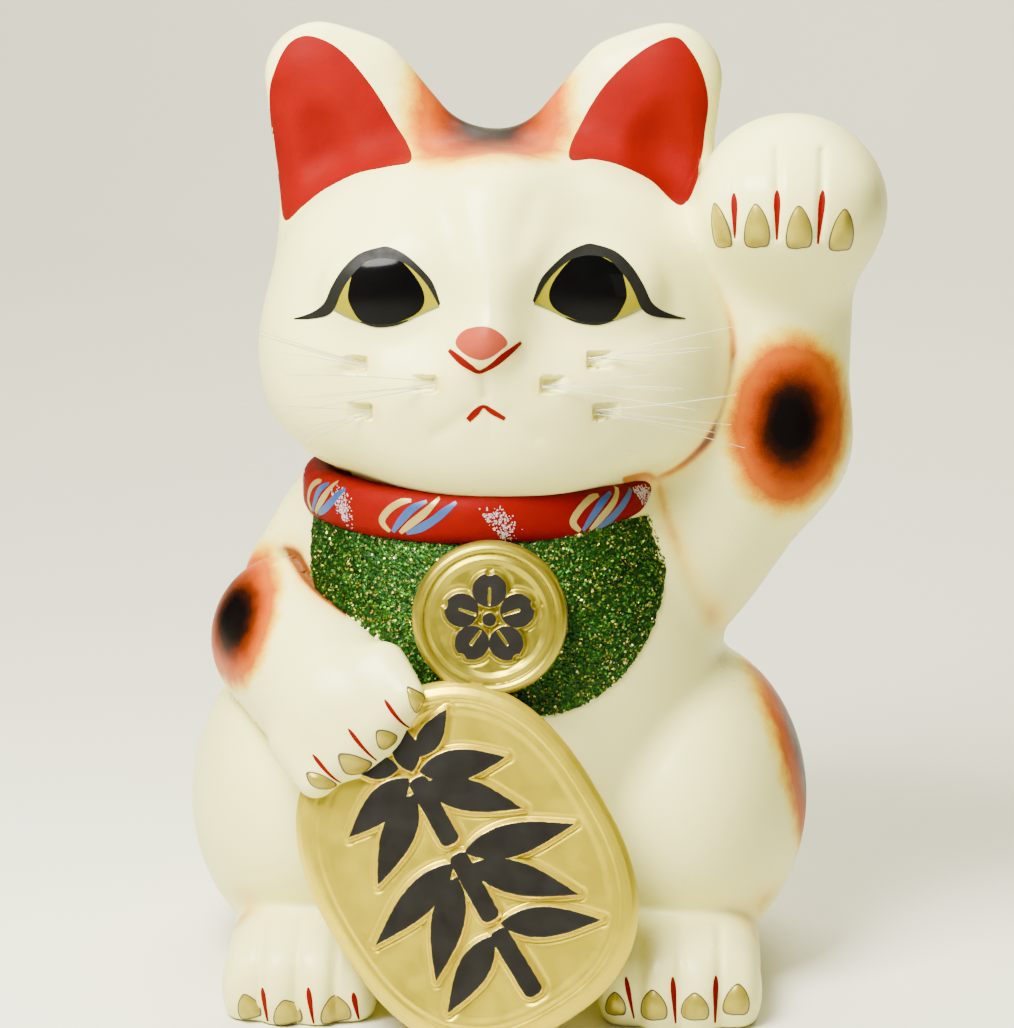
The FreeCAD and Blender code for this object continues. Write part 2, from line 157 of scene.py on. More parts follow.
def face_relief(p):
    """Depth pressed into the face: whisker pits, lip groove, brow folds."""
    front = p[:, 1] < -20
    d = np.zeros(len(p))
    for x, _, z in PITS.values():
        s = 1 if x > 0 else -1
        along = s * (p[:, 0] - x)
        inner = ramp(along, -0.7, 0.4) * (1 - ramp(along, 1.2, 8.5))
        d += 3.3 * inner * (1 - ramp(np.abs(p[:, 2] - z), 1.9, 2.9)) * front
    for groove in FURROWS:
        d += furrow(p, *groove)
    return d


def ear(p, side, shift):
    """Ear on one side, hollowed in front; shift moves it towards the middle."""
    q = p.copy()
    q[:, 0] = side * q[:, 0] + shift
    d = limb(q, (42, 5, 250), (56.5, 3, 284.5), 27.5, 17.3, flat=0.6)
    d = join(d, limb(q, (22, 6, 243), (45, 4, 280), 24, 18, flat=0.6), 3)
    return carve(d, ball(q, (56, -33, 263), (23, 27, 37), turn=(0, 12, 0)), 2.5)


def head(p, fine=False):
    """Head with both ears; fine adds the modelling of the face."""
    m = pair(p)
    d = ball(p, (0, 0, 213), (71.5, 60, 52.6), power=2.45)
    d = join(d, ball(m, (33, -10, 197), (41, 47, 35), power=2.2), 12)
    d = join(d, ball(p, (0, -41, 181), (38, 23, 23.5)), 16)
    d = join(d, ball(m, (12, -53, 198), (17, 11, 11)), 14)
    d = join(d, limb(p, (0, -42, 246), (0, -60, 217), 17, 11), 18)
    d = join(d, ball(p, (-1, -66, 213), (10, 8, 7)), 6)
    d = carve(d, ball(m, (31, -76, 223), (22, 17, 17)), 14)
    d = join(d, ball(m, (30.5, -48.5, 225.5), (20, 9.5, 14)), 7)
    d = join(d, ear(p, 1, 4.0), 10)
    d = join(d, ear(p, -1, 0.0), 10)
    if fine:
        d = d + face_relief(p)
    return d


def foot(p, side, half_width):
    """Hind foot with four toes and the grooves between them."""
    q = p.copy()
    q[:, 0] *= side
    d = ball(q, (59, -42, 10), (half_width, 38, 18.5), power=3.2)
    for t in TOES:
        x = 12.3 * t
        c = (59 + x * half_width / 25, -73 + 0.012 * x * x, 9)
        d = join(d, ball(q, c, (6.3, 10, 11.5)), 5)
    for x in (-12, 0, 12):
        groove = bump(q[:, 0], 59 + x * half_width / 25, 1.6) * ramp(-q[:, 1], 52, 64)
        d = d + 0.9 * groove * ramp(q[:, 2], -2, 4)
    return d


def torso(p):
    """Seated body: chest, belly, haunches, shoulder, hind feet and tail."""
    m = pair(p)
    d = ball(p, (0, 6, 70), (72, 68, 84), power=2.2)
    d = join(d, ball(p, (0, -4, 118), (66, 56, 58)), 22)
    d = join(d, limb(p, (0, 0, 140), (0, 0, 172), 54, 50, flat=0.9), 16)
    d = join(d, ball(p, (0, 8, 14), (66, 58, 22), power=3.0), 10)
    d = join(d, ball(p, (-6, -46, 54), (40, 33, 46)), 12)
    d = join(d, limb(p, (-55, 10, 116), (-49, 12, 136), 29, 24), 10)
    d = join(d, ball(m, (59, 2, 52), (41, 60, 51)), 6)
    d = join(d, foot(p, 1, 25.5), 4)
    d = join(d, foot(p, -1, 24.0), 4)
    d = join(d, limb(p, (0, 66, 16), (30, 68, 26), 12, 11.5), 5)
    d = join(d, limb(p, (30, 68, 26), (40, 61, 52), 11.5, 10), 5)
    return carve(d, p[:, 2], 1.5)


def raised(p):
    """Raised arm and paw, with three grooves between the toes."""
    d = limb(p, (90, -10, 230), (81, -3, 172), 21.5, 29.5)
    d = join(d, limb(p, (81, -3, 172), (60, -1, 136), 29.5, 27), 8)
    d = join(d, ball(p, (91, -23, 248), (29.5, 29, 28.5)), 12)
    d = join(d, ball(p, (91, -38, 251), (25, 17, 14), power=2.4), 10)
    for x, top in ((73.3, 262), (86, 267), (99.5, 267)):
        d = d + furrow(p, (x, top), (x - (x > 90), 243), 1.5, 0.9)
    return d


def lowered(p):
    """Arm that holds the plaque, with its toes curled over the edge."""
    d = limb(p, (-64, -14, 107), (-48, -58, 98), 27.5, 23)
    d = join(d, ball(p, (-42, -68, 95), (22, 18, 20), turn=(0, -35, 0)), 8)
    for t in TOES:
        tip = (-38.5 + 9.2 * t, -80 + t, 92.5 + 8.6 * t)
        root = (tip[0] - 7, tip[1] + 8, tip[2] + 8)
        d = join(d, limb(p, root, tip, 6.2, 5.6), 7)
    return d


# each casting: its field, the box it fills, and the fillet where it meets the rest
CASTINGS = {
    "torso": (torso, (-104, -92, -6), (104, 86, 200), 0),
    "head": (head, (-84, -84, 152), (80, 66, 308), 4),
    "raised": (raised, (28, -64, 100), (128, 36, 284), 12),
    "lowered": (lowered, (-98, -96, 60), (-8, 20, 146), 3),
}
FAR = 40.0              # stands for a distance that need not be worked out


def casting_fields(p, fine=False):
    """Distances of every casting at p, FAR where p is well clear of one."""
    out = []
    for name, (field, low, high, _) in CASTINGS.items():
        d = np.full(len(p), FAR)
        near = np.all((p > np.array(low) - 8) & (p < np.array(high) + 8), axis=1)
        if near.any():
            d[near] = head(p[near], fine) if name == "head" else field(p[near])
        out.append(d)
    return out


def figure(p, fine=False):
    """All the castings luted together; fine adds the face and a crease beside each arm."""
    parts = casting_fields(p, fine)
    d = parts[0]
    for part, (_, _, _, k) in zip(parts[1:], list(CASTINGS.values())[1:]):
        d = join(d, part, k)
    if fine:
        beside = np.minimum(parts[0], parts[1])
        for part, depth, width in ((parts[2], 0.4, 3.0), (parts[3], 1.3, 1.8)):
            d = d + depth * bump(part - beside, 0, width) * (beside < 20)
    return d


def slope(field, p, h=0.06):
    """Gradient of a field from four samples round each point."""
    k = np.array([[1, -1, -1], [-1, -1, 1], [-1, 1, -1], [1, 1, 1]], float)
    g = np.zeros_like(p)
    for row in k:
        g += row * field(p + h * row)[:, None]
    return g / (4 * h)


def settle(field, p, rounds):
    """Moves points onto the surface of a field and gives their normals."""
    for _ in range(rounds):
        g = slope(field, p)
        step = field(p) / np.maximum((g * g).sum(1), 0.05)
        p = p - np.clip(step, -3, 3)[:, None] * g
    return p, unit(slope(field, p))


# ------------------------------------------------------------------ clay surface

def hoops(count, around, start=0):
    """Quads between hoops of points: count hoops, around points in each."""
    faces = []
    for k in range(count - 1):
        a, b = start + k * around, start + (k + 1) * around
        for i in range(around):
            j = (i + 1) % around
            faces.append((a + i, a + j, b + j, b + i))
    return faces


def surface_nets(field, low, high, step):
    """Quad mesh of a field's zero level on a regular grid."""
    low = np.array(low, float)
    n = np.ceil((np.array(high, float) - low) / step).astype(int) + 1
    axes = [low[i] + step * np.arange(n[i]) for i in range(3)]
    grid = np.stack(np.meshgrid(*axes, indexing="ij"), -1).reshape(-1, 3)
    value = field(grid).reshape(n)
    inside = value < 0
    count = np.zeros(n - 1, int)
    corners = [(i, j, k) for i in (0, 1) for j in (0, 1) for k in (0, 1)]
    for i, j, k in corners:
        count += inside[i:n[0] - 1 + i, j:n[1] - 1 + j, k:n[2] - 1 + k]
    active = (count > 0) & (count < 8)
    index = -np.ones(active.shape, int)
    index[active] = np.arange(active.sum())
    cells = np.argwhere(active)
    total = np.zeros((len(cells), 3))
    hits = np.zeros(len(cells))
    for corner in corners:
        for axis in range(3):
            if corner[axis]:
                continue
            a = cells + corner
            b = a.copy()
            b[:, axis] += 1
            va = value[a[:, 0], a[:, 1], a[:, 2]]
            vb = value[b[:, 0], b[:, 1], b[:, 2]]
            cut = (va < 0) != (vb < 0)
            point = np.tile(np.array(corner, float), (len(cells), 1))
            point[cut, axis] += va[cut] / (va[cut] - vb[cut])
            total[cut] += point[cut]
            hits[cut] += 1
    verts = low + (cells + total / hits[:, None]) * step
    quads = []
    for axis in range(3):
        one, two = (axis + 1) % 3, (axis + 2) % 3
        start = [slice(None)] * 3
        end = [slice(None)] * 3
        start[axis] = slice(0, n[axis] - 1)
        end[axis] = slice(1, n[axis])
        edge = np.argwhere(inside[tuple(start)] != inside[tuple(end)])
        ok = (edge[:, one] > 0) & (edge[:, two] > 0)
        edge = edge[ok & (edge[:, one] < n[one] - 1) & (edge[:, two] < n[two] - 1)]
        ring = []
        for d1, d2 in ((1, 1), (0, 1), (0, 0), (1, 0)):
            c = edge.copy()
            c[:, one] -= d1
            c[:, two] -= d2
            ring.append(index[c[:, 0], c[:, 1], c[:, 2]])
        ring = np.stack(ring, 1)
        out = ~inside[edge[:, 0], edge[:, 1], edge[:, 2]]
        ring[out] = ring[out][:, ::-1]
        quads.append(ring)
    return verts, np.concatenate(quads)


def relax(verts, quads, rounds):
    """Evens out a quad mesh by moving each point towards its neighbours' mean."""
    for _ in range(rounds):
        total = np.zeros_like(verts)
        hits = np.zeros(len(verts))
        for k in (1, 3):
            np.add.at(total, quads.ravel(), verts[np.roll(quads, k, axis=1).ravel()])
            np.add.at(hits, quads.ravel(), 1)
        used = hits > 0
        mean = total[used] / hits[used][:, None]
        verts = verts.copy()
        verts[used] = 0.5 * verts[used] + 0.5 * mean
    return verts


def split(verts, quads):
    """Each quad into four."""
    n = len(verts)
    edges = np.stack([quads, np.roll(quads, -1, axis=1)], -1).reshape(-1, 2)
    key, inverse = np.unique(np.sort(edges, axis=1), axis=0, return_inverse=True)
    mids = verts[key].mean(1)
    centres = verts[quads].mean(1)
    mid = n + inverse.reshape(-1, 4)
    centre = n + len(key) + np.arange(len(quads))
    new = [np.stack([quads[:, i], mid[:, i], centre, mid[:, i - 1]], 1) for i in range(4)]
    return np.concatenate([verts, mids, centres]), np.concatenate(new)


def trim(verts, faces):
    """Only the points that the faces use."""
    used, inverse = np.unique(faces, return_inverse=True)
    return verts[used], inverse.reshape(faces.shape)


def rim_loops(quads):
    """Open border edges grouped into loops, as arrays of directed edges."""
    edges = np.stack([quads, np.roll(quads, -1, axis=1)], -1).reshape(-1, 2)
    seen = {tuple(e) for e in edges.tolist()}
    open_edges = [e for e in seen if (e[1], e[0]) not in seen]
    parent = {}

    def root(a):
        while parent.setdefault(a, a) != a:
            a = parent[a]
        return a
    for a, b in open_edges:
        parent[root(a)] = root(b)
    loops = {}
    for e in open_edges:
        loops.setdefault(root(e[0]), []).append(e)
    return [np.array(v) for v in loops.values()]


def linked(name, verts, faces, material=None, smooth=False):
    """Object in the scene, from points in millimetres."""
    mesh = bpy.data.meshes.new(name)
    mesh.from_pydata((np.asarray(verts) * MM).tolist(), [], faces)
    mesh.update()
    if material:
        mesh.materials.append(material)
    mesh.polygons.foreach_set("use_smooth", [smooth] * len(mesh.polygons))
    obj = bpy.data.objects.new(name, mesh)
    SCENE.collection.objects.link(obj)
    return obj


def piece(name, verts, faces, paint_name, smooth=True):
    """Painted piece that rides on the bank."""
    obj = linked(name, verts, faces, PAINT[paint_name], smooth)
    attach(obj, "bank")
    return obj


def set_values(obj, name, values):
    """Stores one number for each point of a mesh."""
    layer = obj.data.attributes.new(name, "FLOAT", "POINT")
    layer.data.foreach_set("value", np.asarray(values, dtype=np.float32))


def clay_skins():
    """One closed skin for each casting, all parts of one filleted surface."""
    verts, quads = surface_nets(figure, (-106, -94, -5), (125, 86, 308), COARSE)
    verts = relax(verts, quads, 2)
    verts, _ = settle(figure, verts, 3)
    label = np.argmin(np.stack(casting_fields(verts[quads].mean(1))), axis=0)
    skins = {}
    for i, name in enumerate(CASTINGS):
        v, q = trim(verts, quads[label == i])
        levels = 1 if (name == "torso") else 2
        for _ in range(levels):
            v, q = split(v, q)
            v, normal = settle(lambda p: figure(p, True), v, 2)
        faces = q.tolist()
        for loop in rim_loops(q):
            # the rim first turns straight in under the surface, then closes on a hub inside
            ids = np.unique(loop)
            inner = {int(a): len(v) + i for i, a in enumerate(ids)}
            hub = len(v) + len(ids)
            v = np.vstack([v, v[ids] - RIM_DEPTH * normal[ids], v[ids].mean(0)])
            for a, b in loop.tolist():
                faces += [(b, a, inner[a], inner[b]), (inner[b], inner[a], hub)]
        skins[name] = (v, faces)
    return skins


# ------------------------------------------------------------------ paint

def tree_noise(tree, scale, detail=3.0):
    """Noise over the object; scale in cycles per metre."""
    source = tree.nodes.new("ShaderNodeTexCoord").outputs["Object"]
    node = tree.nodes.new("ShaderNodeTexNoise")
    node.inputs["Scale"].default_value = scale
    node.inputs["Detail"].default_value = detail
    tree.links.new(source, node.inputs["Vector"])
    return node.outputs["Fac"]


def tree_math(tree, operation, a, b):
    """Sum, difference or product of two sockets or numbers."""
    node = tree.nodes.new("ShaderNodeMath")
    node.operation = operation
    for socket, value in zip(node.inputs, (a, b)):
        if isinstance(value, (int, float)):
            socket.default_value = value
        else:
            tree.links.new(value, socket)
    return node.outputs["Value"]


def tree_range(tree, value, low, high):
    """Noise, which mostly lies between 0.3 and 0.7, spread over low to high."""
    node = tree.nodes.new("ShaderNodeMapRange")
    node.inputs["From Min"].default_value = 0.3
    node.inputs["From Max"].default_value = 0.7
    node.inputs["To Min"].default_value = low
    node.inputs["To Max"].default_value = high
    tree.links.new(value, node.inputs["Value"])
    return node.outputs["Result"]


def tree_stops(tree, value, table):
    """Colours along a value: table of (position, colour)."""
    node = tree.nodes.new("ShaderNodeValToRGB")
    elements = node.color_ramp.elements
    elements.remove(elements[1])
    elements[0].position = table[0][0]
    elements[0].color = (*table[0][1], 1)
    for position, colour in table[1:]:
        elements.new(position).color = (*colour, 1)
    tree.links.new(value, node.inputs["Fac"])
    return node.outputs["Color"]


def tree_mix(tree, factor, a, b, blend="MIX"):
    """Two colours blended by a socket or a number."""
    node = tree.nodes.new("ShaderNodeMix")
    node.data_type = "RGBA"
    node.blend_type = blend
    if isinstance(factor, float):
        node.inputs["Factor"].default_value = factor
    else:
        tree.links.new(factor, node.inputs["Factor"])
    for socket, value in ((node.inputs["A"], a), (node.inputs["B"], b)):
        if isinstance(value, tuple):
            socket.default_value = (*value, 1)
        else:
            tree.links.new(value, socket)
    return node.outputs["Result"]


def tree_bump(tree, shader, height, distance):
    """Slight surface relief, distance metres deep."""
    node = tree.nodes.new("ShaderNodeBump")
    node.inputs["Distance"].default_value = distance
    node.inputs["Strength"].default_value = 1.0
    tree.links.new(height, node.inputs["Height"])
    tree.links.new(node.outputs["Normal"], shader.inputs["Normal"])


def attribute(tree, name):
    """Number stored on the mesh's points."""
    node = tree.nodes.new("ShaderNodeAttribute")
    node.attribute_name = name
    return node.outputs["Fac"]


def scaled(colour, k):
    """A lighter or darker colour."""
    return tuple(min(c * k, 1.0) for c in colour)


def new_material(name):
    """Material with its node tree and its shader."""
    material = bpy.data.materials.new(name)
    material.use_nodes = True
    return material, material.node_tree, material.node_tree.nodes["Principled BSDF"]


def base_paint(name, colour, vary, gloss, grain, relief=0.00003, **sockets):
    """Brushed or sprayed paint: two close tones, uneven gloss and a slight relief."""
    material, tree, shader = new_material(name)
    tone = tree_range(tree, tree_noise(tree, grain * 0.35, 4.0), 0, 1)
    mixed = tree_mix(tree, tone, scaled(colour, 1 - vary), scaled(colour, 1 + vary))
    tree.links.new(mixed, shader.inputs["Base Color"])
    rough = tree_range(tree, tree_noise(tree, grain), *gloss)
    tree.links.new(rough, shader.inputs["Roughness"])
    tree_bump(tree, shader, tree_noise(tree, grain * 2.5, 5.0), relief)
    for key, value in sockets.items():
        shader.inputs[key.replace("_", " ")].default_value = value
    return material, tree, shader, mixed


def paint(*values, **sockets):
    """The material of a paint that needs no more nodes."""
    return base_paint(*values, **sockets)[0]


WHITE = (0.87, 0.835, 0.31)
SPOT_SPREAD = 0.72      # share of a patch's reach at its stated size
# colours from the middle of a patch outwards
SPOT_STOPS = ((0.0, (0.002, 0.001, 0.001)), (0.22, (0.002, 0.001, 0.001)), (0.32, (0.014, 0.003, 0.001)),
              (0.43, (0.10, 0.012, 0.001)), (0.54, (0.27, 0.037, 0.001)), (0.65, (0.41, 0.078, 0.001)),
              (0.70, (0.40, 0.075, 0.001)), (0.77, (0.60, 0.22, 0.002)), (0.86, (0.80, 0.58, 0.05)),
              (1.0, WHITE))


def glaze():
    """Ivory glaze with the airbrushed patches over it, and painted shade in orange to brown along the
    creases and in the whisker pits.
    """
    material, tree, shader, mixed = base_paint("white_glaze", WHITE, 0.02, (0.26, 0.40), 90, 0.00002)
    wobble = tree_range(tree, tree_noise(tree, 160, 6.0), -0.05, 0.05)
    speck = tree_range(tree, tree_noise(tree, 2600, 2.0), -0.03, 0.03)
    reach = tree_math(tree, "ADD", tree_math(tree, "ADD", attribute(tree, "spot"), wobble), speck)
    reach = tree_math(tree, "MULTIPLY", reach, SPOT_SPREAD)
    sprayed = tree_stops(tree, reach, SPOT_STOPS)
    cover = tree_stops(tree, reach, ((0.86, (1, 1, 1)), (1.0, (0, 0, 0))))
    # painted shade: the crease value darkens the glaze orange to brown in creases and pits, partly the
    # real airbrush
    crease_tint_and_shade = tree_math(tree, "ADD", attribute(tree, "crease_tint_and_shade"),
                      tree_range(tree, tree_noise(tree, 220, 5.0), -0.05, 0.05))
    crease_tint_and_shade_colour = tree_stops(tree, crease_tint_and_shade, ((0.04, (1, 1, 1)), (0.35, (0.98, 0.80, 0.45)),
                                      (0.7, (0.62, 0.26, 0.07)), (1.0, (0.18, 0.055, 0.02))))
    with_crease_tint_and_shade = tree_mix(tree, 1.0, mixed, crease_tint_and_shade_colour, "MULTIPLY")
    tree.links.new(tree_mix(tree, cover, with_crease_tint_and_shade, sprayed), shader.inputs["Base Color"])
    shine = tree_math(tree, "SUBTRACT", 0.32, tree_math(tree, "MULTIPLY", cover, 0.27))
    tree.links.new(shine, shader.inputs["Specular IOR Level"])
    return material


def gold_leafed(name, colour, metallic):
    """Satin gold cast relief, black where the relief's top is inked."""
    material, tree, shader, mixed = base_paint(name, colour, 0.08, (0.28, 0.42), 140, 0.00005,
                                               Specular_IOR_Level=0.3)
    ink = attribute(tree, "ink")
    edge = tree_math(tree, "ADD", ink, tree_range(tree, tree_noise(tree, 500, 3.0), -0.012, 0.012))
    black = tree_stops(tree, edge, ((0.49, (1, 1, 1)), (0.5, (0, 0, 0))))
    tree.links.new(tree_mix(tree, black, mixed, (0.010, 0.009, 0.007)), shader.inputs["Base Color"])
    metal = tree_math(tree, "MULTIPLY", tree_math(tree, "SUBTRACT", 1.0, black), metallic)
    tree.links.new(metal, shader.inputs["Metallic"])
    return material


def glitter():
    """Glued glitter: grains from dark green to gold."""
    material, tree, shader, _ = base_paint("green_glitter", (0.05, 0.11, 0.012), 0.3, (0.25, 0.5), 900,
                                           0.0002, Metallic=0.75)
    grain = tree_stops(tree, attribute(tree, "grain"), (
        (0.0, (0.003, 0.016, 0.001)), (0.34, (0.008, 0.055, 0.001)), (0.62, (0.020, 0.13, 0.002)),
        (0.76, (0.05, 0.19, 0.004)), (0.85, (0.11, 0.13, 0.006)), (0.93, (0.34, 0.27, 0.03)),
        (0.98, (0.75, 0.60, 0.12)), (1.0, (0.95, 0.88, 0.4))))
    tree.links.new(grain, shader.inputs["Base Color"])
    return material


PAINT = {
    "glaze": glaze(),
    "plaque": gold_leafed("plaque_gold", (0.66, 0.51, 0.013), 0.66),
    "medal": gold_leafed("medallion_gold", (0.37, 0.30, 0.02), 0.85),
    "glitter": glitter(),
    "red": paint("red_enamel", (0.155, 0.002, 0.001), 0.10, (0.5, 0.62), 200, 0.00005,
                 Specular_IOR_Level=0.03),
    "pink": paint("nose_pink", (0.32, 0.047, 0.020), 0.06, (0.4, 0.55), 300,
                  Specular_IOR_Level=0.1),
    "yellow": paint("eye_yellow", (0.24, 0.205, 0.0003), 0.08, (0.3, 0.4), 300,
                    Specular_IOR_Level=0.06),
    "black": paint("pupil_black", (0.002, 0.002, 0.002), 0.3, (0.08, 0.13), 120, 0.00001,
                   Specular_IOR_Level=0.09),
    "charcoal": paint("liner_charcoal", (0.008, 0.008, 0.006), 0.3, (0.4, 0.55), 400,
                      Specular_IOR_Level=0.1),
    "olive": paint("lid_olive", (0.16, 0.17, 0.03), 0.2, (0.3, 0.45), 400),
    "claw": paint("claw_gold", (0.36, 0.29, 0.02), 0.16, (0.3, 0.42), 500, Metallic=0.35),
    "claw_edge": paint("claw_outline", (0.07, 0.05, 0.015), 0.2, (0.35, 0.5), 400),
    "blue": paint("motif_blue", (0.012, 0.06, 0.20), 0.15, (0.35, 0.5), 300),
    "motif_gold": paint("motif_gold", (0.36, 0.28, 0.07), 0.12, (0.35, 0.5), 300, Metallic=0.3),
    "dab": paint("motif_dab", (0.46, 0.42, 0.45), 0.1, (0.5, 0.65), 500),
    "hair": paint("whisker_nylon", (0.62, 0.58, 0.48), 0.05, (0.15, 0.25), 300, IOR=1.53,
                  Transmission_Weight=0.25),
    "rubber": paint("stopper_rubber", (0.045, 0.043, 0.04), 0.15, (0.55, 0.7), 260, 0.0001),
}


# ------------------------------------------------------------------ flat shapes pressed on

def smooth(points, count, closed=False):
    """Even spline through a few points."""
    p = np.array(points, float)
    n = len(p)
    spans = n if closed else n - 1
    out = []
    for u in np.linspace(0, spans, count, endpoint=not closed):
        i = min(int(u), spans - 1)
        t = u - i
        index = [i - 1, i, i + 1, i + 2]
        if closed:
            a, b, c, d = (p[k % n] for k in index)
        else:
            a, b, c, d = (p[min(max(k, 0), n - 1)] for k in index)
        out.append(b + 0.5 * t * (c - a + t * (2 * a - 5 * b + 4 * c - d + t * (3 * (b - c) + d - a))))
    return np.array(out)


def fan_patch(outline, rings):
    """Points, faces and rim of a filled outline that its centre can see all of."""
    middle = outline.mean(0)
    m = len(outline)
    points = [middle[None]]
    for k in range(1, rings + 1):
        points.append(middle + (outline - middle) * k / rings)
    faces = [(0, 1 + i, 1 + (i + 1) % m) for i in range(m)]
    for k in range(1, rings):
        a, b = 1 + (k - 1) * m, 1 + k * m
        faces += [(a + i, b + i, b + (i + 1) % m, a + (i + 1) % m) for i in range(m)]
    rim = [1 + (rings - 1) * m + i for i in range(m)]
    return np.concatenate(points), faces, rim


def ribbon_patch(one, two, rows):
    """Points, faces and rim of the strip between two curves of equal length."""
    m = len(one)
    points = np.concatenate([one + (two - one) * k / rows for k in range(rows + 1)])
    faces = []
    for k in range(rows):
        a = k * m
        faces += [(a + i, a + m + i, a + m + i + 1, a + i + 1) for i in range(m - 1)]
    last = rows * m
    rim = [k * m for k in range(rows + 1)] + [last + i for i in range(1, m)]
    rim += [k * m + m - 1 for k in range(rows - 1, -1, -1)] + [i for i in range(m - 2, 0, -1)]
    return points, faces, rim


def stroke_patch(points, widths, rows=3):
    """Brush stroke along a curve, with a width at each point."""
    count = 6 * len(points)
    line = smooth(points, count)
    width = smooth([(w, 0) for w in widths], count)[:, 0]
    width = np.maximum(width, 0.08)
    along = np.gradient(line, axis=0)
    half = unit(np.stack([-along[:, 1], along[:, 0]], 1)) * width[:, None] / 2
    return ribbon_patch(line + half, line - half, rows)


def clay(p):
    """The finished surface that paint is pressed on."""
    return figure(p, True)


def press(flat, field=clay, start=-100.0):
    """Front view points (x, z) dropped back onto a field: points and normals."""
    p = np.stack([flat[:, 0], np.full(len(flat), start), flat[:, 1]], 1)
    for _ in range(45):
        p[:, 1] += np.clip(field(p), -3, 20) * 0.9
    return p, unit(slope(field, p))


def plate(top, bottom, faces, rim, outward):
    """Closed solid between two layers of points that share faces and rim."""
    n = len(top)
    a, b, c = (top[i] for i in faces[len(faces) // 2][:3])
    if np.cross(b - a, c - a) @ outward < 0:
        faces = [f[::-1] for f in faces]
    sides = {tuple(sorted(e)) for e in zip(rim, rim[1:] + rim[:1])}
    walls = []
    for f in faces:
        for i, j in zip(f, f[1:] + f[:1]):
            if tuple(sorted((i, j))) in sides:
                walls.append((j, i, i + n, j + n))
    under = [tuple(i + n for i in f[::-1]) for f in faces]
    return np.concatenate([top, bottom]), list(faces) + under + walls


class Pile:
    """Closed solids collected into one object."""

    def __init__(self):
        self.verts, self.faces, self.values, self.count = [], [], [], 0

    def add(self, verts, faces, value=0.0):
        """Adds one solid, with a value for all of its points."""
        self.verts.append(verts)
        self.faces += [tuple(i + self.count for i in f) for f in faces]
        self.values += [value] * len(verts)
        self.count += len(verts)

    def lay(self, patch, lift=PAINT_LIFT, dome=0.0):
        """Presses a flat patch onto the clay as a thin film; dome swells its middle."""
        flat, faces, rim = patch
        p, n = press(flat)
        out = np.full((len(flat), 1), lift)
        if dome:
            rings = (len(flat) - 1) // len(rim)
            share = np.concatenate([[0], np.repeat(np.arange(1, rings + 1) / rings, len(rim))])
            out[:, 0] += dome * (1 - share ** 2.5)
        self.add(*plate(p + n * out, p - n * 0.3, faces, rim, n[len(n) // 2]))

    def build(self, name, paint_name, slot="red_enamel"):
        """Makes the painted piece."""
        obj = piece(name, np.concatenate(self.verts), self.faces, paint_name)
        obj.data.set_sharp_from_angle(angle=math.radians(40))
        return obj


def mirror(points, side, centre):
    """Outline about its own middle, set at a centre and mirrored by side."""
    return [(centre[0] + side * x, centre[1] + z) for x, z in points]


# outlines in the front view, as (x, z); eye shapes are (outwards, up) from the pupil's middle
LINER_OVER = ((29.5, -10.9), (23.3, -8.2), (19.3, -4.7), (16.9, 0.4), (13.4, 6), (8.5, 10.5), (2.5, 12.6),
              (-1, 12.8), (-6.4, 10.5), (-12.1, 5.5), (-14.6, 1.9), (-16.4, -3.3))
LINER_UNDER = ((29.5, -11.1), (23.8, -10.2), (18.9, -8.7), (16.1, -6.2), (13.9, -1.1), (11.4, 3.2),
               (6.5, 8.3), (1.5, 9.7), (-3, 9.3), (-6.4, 7.9), (-9.9, 5), (-12.9, 1.4), (-16, -4))
LID = ((16.1, -6.2), (11.5, -8.4), (6, -10.2), (1.5, -10.7), (-4.5, -9.6), (-10, -7), (-16, -4))
PUPIL = ((11.7, -2.1), (10.7, -5.2), (8.5, -8.7), (5.5, -10.3), (1.5, -10.5), (-3.5, -9.4), (-8.4, -7.2),
         (-10.9, -4.7), (-11.6, -1.6), (-10.5, 1.9), (-8, 5.6), (-5, 8.6), (-1.5, 9.9), (3.5, 9.5),
         (9.4, 6.1), (11, 2.4))
LID_WIDTHS = (0.9, 0.75, 0.6, 0.5, 0.5, 0.5, 0.5, 0.5, 0.5, 0.5, 0.6, 0.9)
# which way each eye faces outwards, and the middle of its pupil
EYES = {"left": (-1, (-31.5, 226.0)), "right": (1, (29.2, 227.2))}
EAR_LINING = {
    "left": ((-60.2, 297.9), (-65.9, 295.0), (-70.0, 287.2), (-72.1, 278.5), (-71.4, 262), (-69.6, 250),
             (-67.2, 240.5), (-60.5, 246), (-53.7, 251.4), (-43.5, 256.8), (-33, 259.6), (-26.3, 261.2),
             (-28.0, 265), (-32.0, 270.8), (-38.7, 281.5), (-46.4, 291.0), (-53, 296)),
    "right": ((54.3, 298.0), (59.6, 294.1), (63.7, 286.4), (65.4, 277.9), (64.5, 269.1), (63.1, 259.7),
              (57.8, 248.2), (47.6, 255.1), (38.2, 259.6), (30, 261.6), (22.5, 262.5), (25.6, 270.8),
              (33.3, 283.3), (44.1, 293.4)),
}
NOSE = ((-10.0, 211.8), (-8.0, 209.8), (-5.0, 208.3), (-1.9, 207.8), (1.1, 208.9), (3.8, 210.9),
        (5.6, 212.6), (4.4, 215.0), (1.1, 217.4), (-2.1, 217.9), (-6.3, 216.7), (-9.0, 214.5))
NOSE_LINE = ((-12.1, 209.5), (-8.6, 207.2), (-5.6, 205.2), (-2.7, 203.6), (1.0, 205.8), (4.7, 208.9),
             (9.5, 212.3))
MOUTH = ((-6.5, 188.1), (-4.1, 190.6), (-1.9, 192.5), (0.8, 190.9), (4.7, 188.6))
